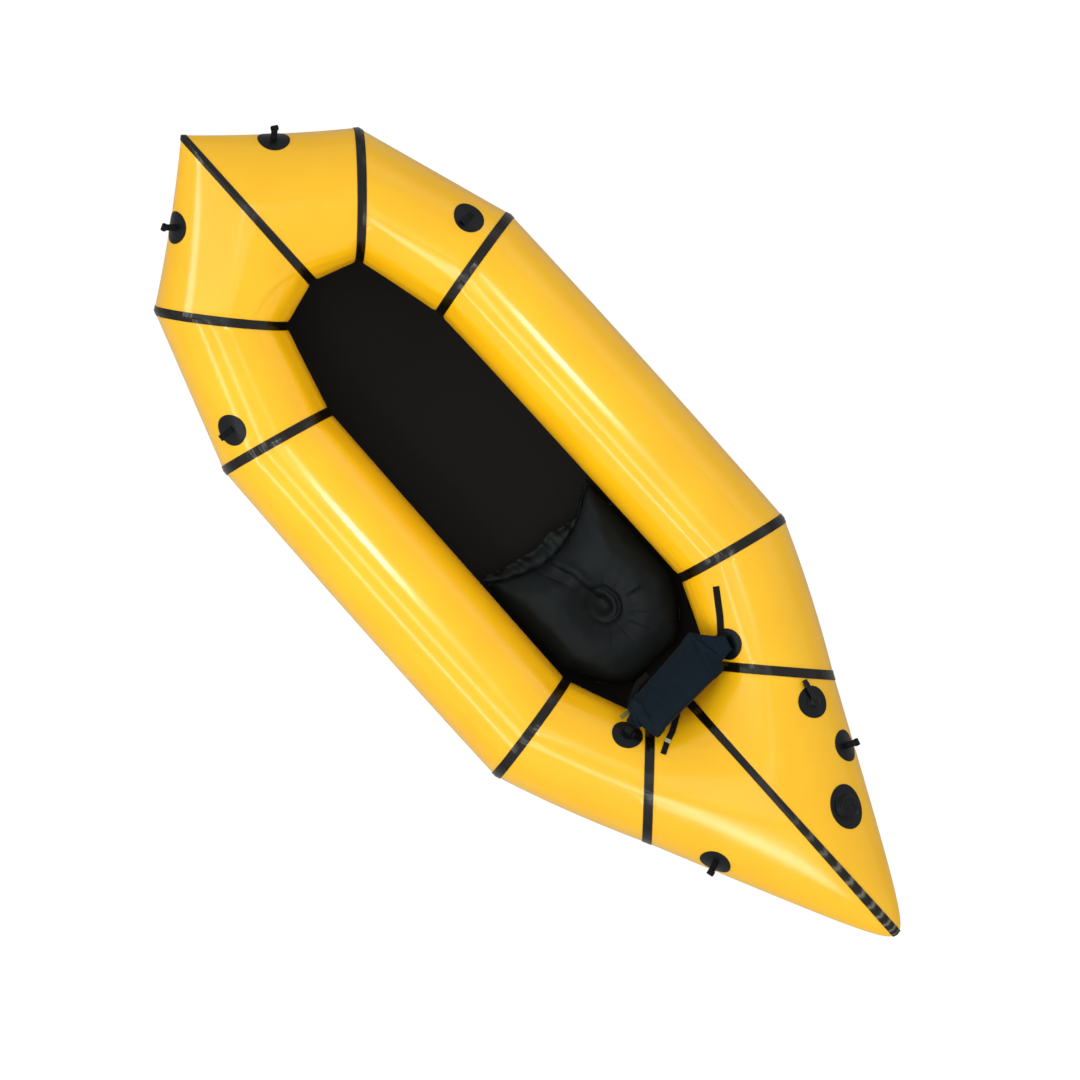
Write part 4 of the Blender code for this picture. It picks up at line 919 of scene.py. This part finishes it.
def ladder_lock(name, strap, low, node):
    """A moulded frame with three rounded bars, the lowest of them at a height along the strap."""
    bpy.ops.mesh.primitive_cube_add(size=1)
    buckle = bpy.context.object
    buckle.name = name
    bpy.ops.object.mode_set(mode="EDIT")
    bpy.ops.transform.resize(value=(BUCKLE_THICKNESS, BUCKLE_WIDTH, BUCKLE_LENGTH))
    bpy.ops.mesh.select_all(action="SELECT")
    bpy.ops.transform.translate(value=(0, 0, low + BUCKLE_LENGTH / 2 - BUCKLE_BAR / 2))
    bpy.ops.object.mode_set(mode="OBJECT")
    opening = (BUCKLE_LENGTH - 3 * BUCKLE_BAR) / 2
    size = Matrix.Diagonal((0.02, BUCKLE_WIDTH - 2 * BUCKLE_BAR, opening, 1))
    for number in range(2):
        bpy.ops.mesh.primitive_cube_add(size=1)
        tool = bpy.context.object
        height = low + BUCKLE_BAR / 2 + opening / 2 + number * (opening + BUCKLE_BAR)
        tool.data.transform(Matrix.Translation((0, 0, height)) @ size)
        change = buckle.modifiers.new("Slot", "BOOLEAN")
        change.operation = "DIFFERENCE"
        change.object = tool
        bpy.context.view_layer.objects.active = buckle
        bpy.ops.object.modifier_apply(modifier="Slot")
        bpy.data.objects.remove(tool)
    round_edges(buckle, 0.0009, 3, 30)
    buckle.matrix_world = strap
    dress(buckle, "backrest", [node], *PLASTIC, 35)


for side_name, side in SIDES.items():
    strap, run_length, arch = strap_axes(side)
    round_patch(f"anchor_round_{side_name}", anchor_point(side)[0], (3, side_name), 0.039, 0.0003,
                f"backrest_anchor_patch_{side_name}")
    strap_on_path(f"anchor_arch_{side_name}", arch_path(), ANCHOR_LOOP_WIDTH, STRAP_WALL, arch, "hull",
                  [f"backrest_anchor_loop_{side_name}"])
    bar_radius = BUCKLE_BAR / 2 * math.sqrt(2) + CLEARANCE + STRAP_WALL / 2
    bar_place = run_length - BUCKLE_LENGTH + BUCKLE_BAR * 1.5
    shift = ANCHOR_LOOP_WIDTH / 2 + STRAP_WALL / 2 + CLEARANCE * 3 - STRAP_ANCHOR_RADIUS
    belt = round_belt(STRAP_ANCHOR_RADIUS, bar_radius, bar_place + shift, 16)
    strap_on_path(f"backrest_webbing_{side_name}", [(x, z - shift) for x, z in belt], STRAP_WIDTH, STRAP_WALL,
                  strap, "backrest", [f"backrest_strap_{side_name}"])
    ladder_lock(f"ladder_lock_{side_name}", strap, bar_place, f"backrest_buckle_{side_name}")


def lying_strap(name, skin_key, points, width, length, thickness, lift, nodes, finish):
    """Webbing that lies on a tube along plan points, lifted off it by so much at its start and its end."""
    def place(a, b):
        along = a * (len(points) - 1)
        k = min(int(along), len(points) - 2)
        here = Vector(points[k]).lerp(Vector(points[k + 1]), along - k)
        way = (Vector(points[k + 1]) - Vector(points[k])).normalized()
        here += Vector((-way.y, way.x)) * (b - 0.5) * width
        hit, normal = bvh[skin_key].ray_cast(Vector((here.x, here.y, 1.0)), Vector((0, 0, -1)))[:2]
        return hit + normal * (lift[0] + (lift[1] - lift[0]) * a)

    piece = cloth_grid(name, 60, 6, (length, width), place)
    close_and_wall(piece, thickness, 1)
    dress(piece, "hull", nodes, "webbing", finish, 50)


lying_strap("spare_end_starboard", (3, "starboard"),
            ((-0.486, -0.160), (-0.440, -0.196), (-0.379, -0.237)),
            0.0160, 0.12, 0.0013, (0.0030, 0.0008), ["strap_tail_starboard"], black_webbing)
lying_strap("spare_end_port", (4, "port"),
            ((-0.545, 0.034), (-0.573, 0.0796), (-0.5814, 0.103), (-0.5974, 0.132)),
            0.0145, 0.11, 0.0013, (0.0008, 0.0008), ["strap_tail_port"], black_webbing)

# Painted highlight: a pale band across the port spare end where it catches the light, drawn as thread with
# stitches 5 mm apart.
glint_band_paint = threaded_finish("glint_band_paint", {
    "Base Color": linear("CFC79A"), "Roughness": 0.5, "Specular IOR Level": 0.4}, (("Y", 62.0),), 0.8, 0.0006)
lying_strap("painted_glint_port", (4, "port"), ((-0.5795, 0.0980), (-0.5835, 0.1065)), 0.0145,
            0.0095, 0.0006, (0.0022, 0.0022), [], glint_band_paint)


# End flaps. The pad's cover runs on past its foam as a flap over each buckle. The starboard one is cut
# as a wide taper that reaches the anchor's middle, and it is creased where it leaves the pad.

# flap: its end and its root along the strap, half widths there, shift of the root towards the stern
FLAPS = {"port": (0.014, 0.066, 0.020, 0.040, -0.013), "starboard": (-0.015, 0.056, 0.022, 0.060, 0.001)}


def end_flap(side_name, end, root, end_half, root_half, root_shift):
    """A creased flap of the pad's cover, laid over the strap and the buckle."""
    side = SIDES[side_name]
    strap = strap_axes(side)[0]

    def place(a, b):
        across = 2 * b - 1
        z = root + (end - root) * a
        half = root_half + (end_half - root_half) * (1 - (1 - a) ** 1.5)
        y = across * half * (1 - 0.12 * a ** 6 * across ** 2) - side * root_shift * (1 - a)
        over = 0.0135 * math.exp(-(max(0.0, abs(z - 0.002) - 0.008) / 0.024) ** 2)
        x = max(over, 0.0075) + 0.010 * (1 - a) ** 2 - 0.010 * abs(across) ** 2.2 * min(1.0, 1.4 * a)
        crease = (z - root * 0.42) + 0.45 * (y + 0.010) * side
        x -= 0.0040 * math.exp(-(crease / 0.0035) ** 2) * (0.4 + 0.6 * (0.5 - 0.5 * across * side))
        x += 0.0028 * math.exp(-((crease - 0.008) / 0.006) ** 2)
        x += 0.0030 * noise.noise(Vector((y * 60, z * 26, 4.0 + side)))
        x += 0.0012 * noise.noise(Vector((y * 150, z * 60, 9.0)))
        return strap @ Vector((max(x, 0.0042), y, z))

    piece = cloth_grid(f"backrest_flap_{side_name}", 90, 80, (0.08, 0.10), place)
    close_and_wall(piece, 0.0010, 1)
    dress(piece, "backrest", [], "backrest_fabric", backrest_cloth, 70)


for side_name, measures in FLAPS.items():
    end_flap(side_name, *measures)


# Keeper: a satin tape from the port anchor to the pad's front corner, painted olive as a painted highlight
# where the strap catches the light, and a loose black strap that goes on from it along the pad's front edge.
# painted highlight: the olive colour stands in for light on black webbing
keeper_painted_lit = threaded_finish("keeper_painted_lit", {
    "Base Color": linear("77743F"), "Roughness": 0.35, "Specular IOR Level": 0.5},
    (("X", 150.0),), 0.4, 0.0003)


def free_strap(name, points, width, finish):
    """Webbing through points in the air, lying nearly flat."""
    def place(a, b):
        along = a * (len(points) - 1)
        k = min(int(along), len(points) - 2)
        way = (Vector(points[k + 1]) - Vector(points[k])).normalized()
        across = Vector((0, 0, 1)).cross(way).normalized()
        here = Vector(points[k]).lerp(Vector(points[k + 1]), along - k)
        return here + across * (b - 0.5) * width + Vector((0, 0, 0.003 * (b - 0.5)))

    piece = cloth_grid(name, 12 * (len(points) - 1), 5, (0.06, width), place)
    close_and_wall(piece, 0.0009, 0)
    dress(piece, "backrest", [], "webbing", finish, 50)


free_strap("keeper_port", ((-0.4625, 0.150, 0.276), (-0.4640, 0.132, 0.270), (-0.4660, 0.112, 0.262)),
           0.011, keeper_painted_lit)
free_strap("keeper_strap", ((-0.4560, 0.112, 0.256), (-0.4400, 0.086, 0.250), (-0.4290, 0.062, 0.246),
                            (-0.4290, 0.030, 0.244)), 0.014, black_webbing)


# Main valve. A wide moulded fitting for filling by bag: a collar on a large round of cloth, with a turned
# cap that locks by a quarter turn and a soft flap under it.

def lathe(name, rings, steps):
    """A turned part: a circle drawn out ring by ring, each (radius, height), with its ends closed."""
    bpy.ops.mesh.primitive_circle_add(vertices=steps, radius=rings[0][0], location=(0, 0, 0))
    piece = bpy.context.object
    piece.name = name
    bpy.ops.object.mode_set(mode="EDIT")
    bpy.ops.mesh.select_all(action="SELECT")
    bpy.ops.transform.translate(value=(0, 0, rings[0][1]))
    for (r0, z0), (r1, z1) in zip(rings, rings[1:]):
        bpy.ops.mesh.extrude_region_move(TRANSFORM_OT_translate={"value": (0, 0, z1 - z0)})
        ratio = r1 / r0
        bpy.ops.transform.resize(value=(ratio, ratio, 1))
    close_ends(0.00015 / 4)
    return piece


def turned(name, rings, steps, place, body, nodes, slot, finish):
    """A turned part with its sharp edges rounded, set on a frame and dressed."""
    piece = lathe(name, rings, steps)
    round_edges(piece, 0.0003, 2, 40)
    piece.matrix_world = place
    dress(piece, body, nodes, slot, finish, 40)


valve_rubber = grainy_finish("valve_rubber", {
    "Base Color": linear("131517"), "Roughness": 0.6, "Specular IOR Level": 0.2}, 700.0, 2.0, 0.15, 0.0002)
RUBBER = ("soft_rubber", valve_rubber)
MAIN_BORE_RADIUS = 0.017
MAIN_NECK_RADIUS = 0.021
MAIN_NECK_DEPTH = 0.016
MAIN_COLLAR_HEIGHT = 0.009
MAIN_PLUG_LENGTH = 0.008
MAIN_FLAP_THICKNESS = 0.0015

main = fitting_frame(4, -1, 0.57, 130.0)
round_patch("main_valve_round", main, (4, "starboard"), 0.056, 0.0, "main_valve_flange", 0.80)
foot = PATCH_TOP + SEAT_LIFT + CLEARANCE
top = foot + MAIN_COLLAR_HEIGHT
turned("main_valve_collar", [
    (MAIN_BORE_RADIUS, top), (MAIN_BORE_RADIUS, -MAIN_NECK_DEPTH), (MAIN_NECK_RADIUS, -MAIN_NECK_DEPTH),
    (MAIN_NECK_RADIUS, foot), (0.0345, foot - 0.0012), (0.0345, foot + 0.0004), (0.0300, foot + 0.0016),
    (0.0290, foot + 0.003), (0.0290, foot + 0.0062), (0.0278, top - 0.0010), (0.0262, top),
    (MAIN_BORE_RADIUS, top)], 72, main, "hull", ["main_valve_base"], *PLASTIC)
seat_z = top + CLEARANCE
plug = MAIN_BORE_RADIUS - CLEARANCE
lid = ((0.0001, 0.0026), (0.0070, 0.0026), (0.0084, 0.0036), (0.0100, 0.0036), (0.0112, 0.0028),
       (0.0150, 0.0030), (0.0168, 0.0050), (0.0225, 0.0050), (0.0252, 0.0036), (0.0260, 0.0022), (0.0260, 0),
       (plug, 0), (plug, -MAIN_PLUG_LENGTH), (0.0001, -MAIN_PLUG_LENGTH))
turned("main_valve_lid", [(radius, seat_z + height) for radius, height in lid], 72, main, "main_valve_cap",
       ["main_valve_cap"], *PLASTIC)
flap_top = -MAIN_NECK_DEPTH - CLEARANCE
flap_low = flap_top - MAIN_FLAP_THICKNESS
turned("main_valve_disc", [
    (0.0001, flap_top), (MAIN_NECK_RADIUS, flap_top), (MAIN_NECK_RADIUS, flap_low), (0.0001, flap_low)],
    48, main, "main_valve_flap", ["main_valve_flap"], *RUBBER)


# Top-up valve. A small dome on a round of cloth, with a mouth tube that lies forward along the hull; its
# twist mouthpiece opens and shuts a spring pin. The last breaths of air go in here.

TOPUP_DOME_HEIGHT = 0.015
TOPUP_STEM_DROP = 0.00708

topup_panel = fitting_frame(4, -1, 0.13, 122.0)
round_patch("topup_round", topup_panel, (4, "starboard"), 0.040, 0.0, "topup_patch")
out = topup_panel.to_3x3() @ Vector((0, 0, 1))
heading = math.radians(-12.0)
along = Vector((math.cos(heading), math.sin(heading), 0))
along = (along - out * along.dot(out)).normalized()
topup = axes(topup_panel.translation, along, out.cross(along), out)
high = foot + TOPUP_DOME_HEIGHT
stem = topup @ Matrix.Translation((0, 0, high - TOPUP_STEM_DROP)) @ Matrix.Rotation(math.pi / 2, 4, "Y")
turned("topup_dome", [
    (0.0170, foot), (0.0170, foot + 0.0014), (0.0140, foot + 0.0026), (0.0132, foot + 0.0075),
    (0.0118, high - 0.0036), (0.0078, high - 0.0008), (0.0001, high)],
    64, topup, "hull", ["topup_base"], *PLASTIC)
turned("topup_tube", [
    (0.0031, 0.008), (0.0031, 0.052), (0.00525, 0.052), (0.00525, 0.014), (0.0066, 0.011), (0.0066, 0.008),
    (0.0031, 0.008)], 40, stem, "hull", [], *PLASTIC)
start, end = 0.038, 0.058
turned("topup_mouth", [
    (0.0043, end), (0.0064, end), (0.0064, end - 0.0065), (0.0075, end - 0.0085), (0.0075, start + 0.001),
    (0.0070, start), (0.00555, start), (0.00555, 0.0523), (0.0043, 0.0523), (0.0043, end)],
    48, stem, "topup_mouthpiece", ["topup_mouthpiece"], *PLASTIC)
turned("topup_pin", [
    (0.0001, end - 0.0012), (0.0032, end - 0.0012), (0.0040, end - 0.0018), (0.0040, 0.0526),
    (0.0022, 0.0526), (0.0022, 0.0386), (0.0001, 0.0386)],
    32, stem, "topup_poppet", ["topup_poppet"], *RUBBER)


# Seat valve. A short mouth tube with a push-in plug on the seat's starboard side, under the side tube.

for node_name, finish in (("seat_valve_stem", buckle_plastic), ("seat_valve_plug", valve_rubber)):
    for material_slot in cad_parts[node_name].material_slots:
        material_slot.material = finish


# Camera, lights and floor of the studio.

# The camera looks straight down from far above, turned so that the bow points to the upper left.
CAMERA_LENS = 341.6
CAMERA_PLACE = Vector((-0.0088, 0.0072, 25.25))

camera_data = bpy.data.cameras.new("camera")
camera_data.lens = CAMERA_LENS
camera_data.sensor_width = 36.0
camera_data.clip_end = 200
camera = bpy.data.objects.new("camera", camera_data)
bpy.context.scene.collection.objects.link(camera)
right = Vector((-0.6674, -0.7447, 0))
up = Vector((0.7447, -0.6674, 0))
camera.matrix_world = axes(CAMERA_PLACE, right, up, Vector((0, 0, 1)))
bpy.context.scene.camera = camera

bpy.ops.mesh.primitive_plane_add(size=60, location=(0, 0, -0.001))
ground = bpy.context.object
ground.name = "ground"
white_ground, tree, shader = new_finish("white_ground", {"Base Color": (0.5, 0.5, 0.5, 1), "Roughness": 1.0,
                                                         "Specular IOR Level": 0.0})
light_path = add_node(tree, "ShaderNodeLightPath", {})
glow = add_node(tree, "ShaderNodeEmission", {"Color": (1, 1, 1, 1), "Strength": 1.09})
share_seen = add_node(tree, "ShaderNodeMath", {"operation": "MULTIPLY", 1: 0.9})
tree.links.new(light_path.outputs["Is Camera Ray"], share_seen.inputs[0])
mix = add_node(tree, "ShaderNodeMixShader", {})
tree.links.new(share_seen.outputs[0], mix.inputs[0])
tree.links.new(shader.outputs[0], mix.inputs[1])
tree.links.new(glow.outputs[0], mix.inputs[2])
tree.links.new(mix.outputs[0], tree.nodes["Material Output"].inputs["Surface"])
ground.data.materials.append(white_ground)

world = bpy.data.worlds.new("studio")
bpy.context.scene.world = world
world.use_nodes = True
world.node_tree.nodes["Background"].inputs["Color"].default_value = (1, 1, 1, 1)
world.node_tree.nodes["Background"].inputs["Strength"].default_value = 0.80


def strip_lamp(name, place, target, along, length, width, power, spread=180):
    """A lamp panel at a place, facing a target, its length laid along a direction."""
    data = bpy.data.lights.new(name, "AREA")
    data.shape = "RECTANGLE"
    data.size = length
    data.size_y = width
    data.energy = power
    data.spread = math.radians(spread)
    lamp = bpy.data.objects.new(name, data)
    bpy.context.scene.collection.objects.link(lamp)
    back = (Vector(place) - Vector(target)).normalized()
    length_way = Vector(along)
    length_way = (length_way - back * length_way.dot(back)).normalized()
    lamp.matrix_world = axes(Vector(place), length_way, back.cross(length_way), back)


strip_lamp("port_strip_high", (0.05, 2.38, 4.2), (0.0, 0.0, 0.2), (1, 0.05, 0), 2.9, 0.46, 22)
strip_lamp("port_strip_low", (0.05, 5.20, 3.9), (0.0, 0.0, 0.2), (1, 0.03, 0), 3.2, 0.55, 42)
strip_lamp("crest_lamp", (0.33, 0.20, 4.2), (0.3, 0.05, 0.2), (0, 1, 0), 0.80, 0.26, 0.6, 26)
strip_lamp("cross_strip", (1.50, 1.72, 4.0), (0.5, 0.1, 0.2), (0.75, 0.66, 0), 3.3, 0.40, 6)
strip_lamp("bow_lamp", (4.1, 4.2, 4.0), (1.1, 0.1, 0.3), (1, 0, 0), 1.6, 1.2, 1.0, 26)
strip_lamp("stern_strip", (-2.1, 2.85, 4.0), (-1.0, 0.1, 0.3), (-0.61, 0.79, 0), 3.2, 0.30, 4.2, 60)
strip_lamp("overhead", (-0.25, 0.20, 4.4), (-0.6, 0.0, 0.2), (-0.7, 0.7, 0), 2.2, 0.45, 4)
strip_lamp("starboard_fill", (0.0, -6.0, 2.4), (0, 0, 0.2), (1, 0, 0), 5.0, 2.0, 14)

bpy.context.scene.view_settings.view_transform = "Standard"
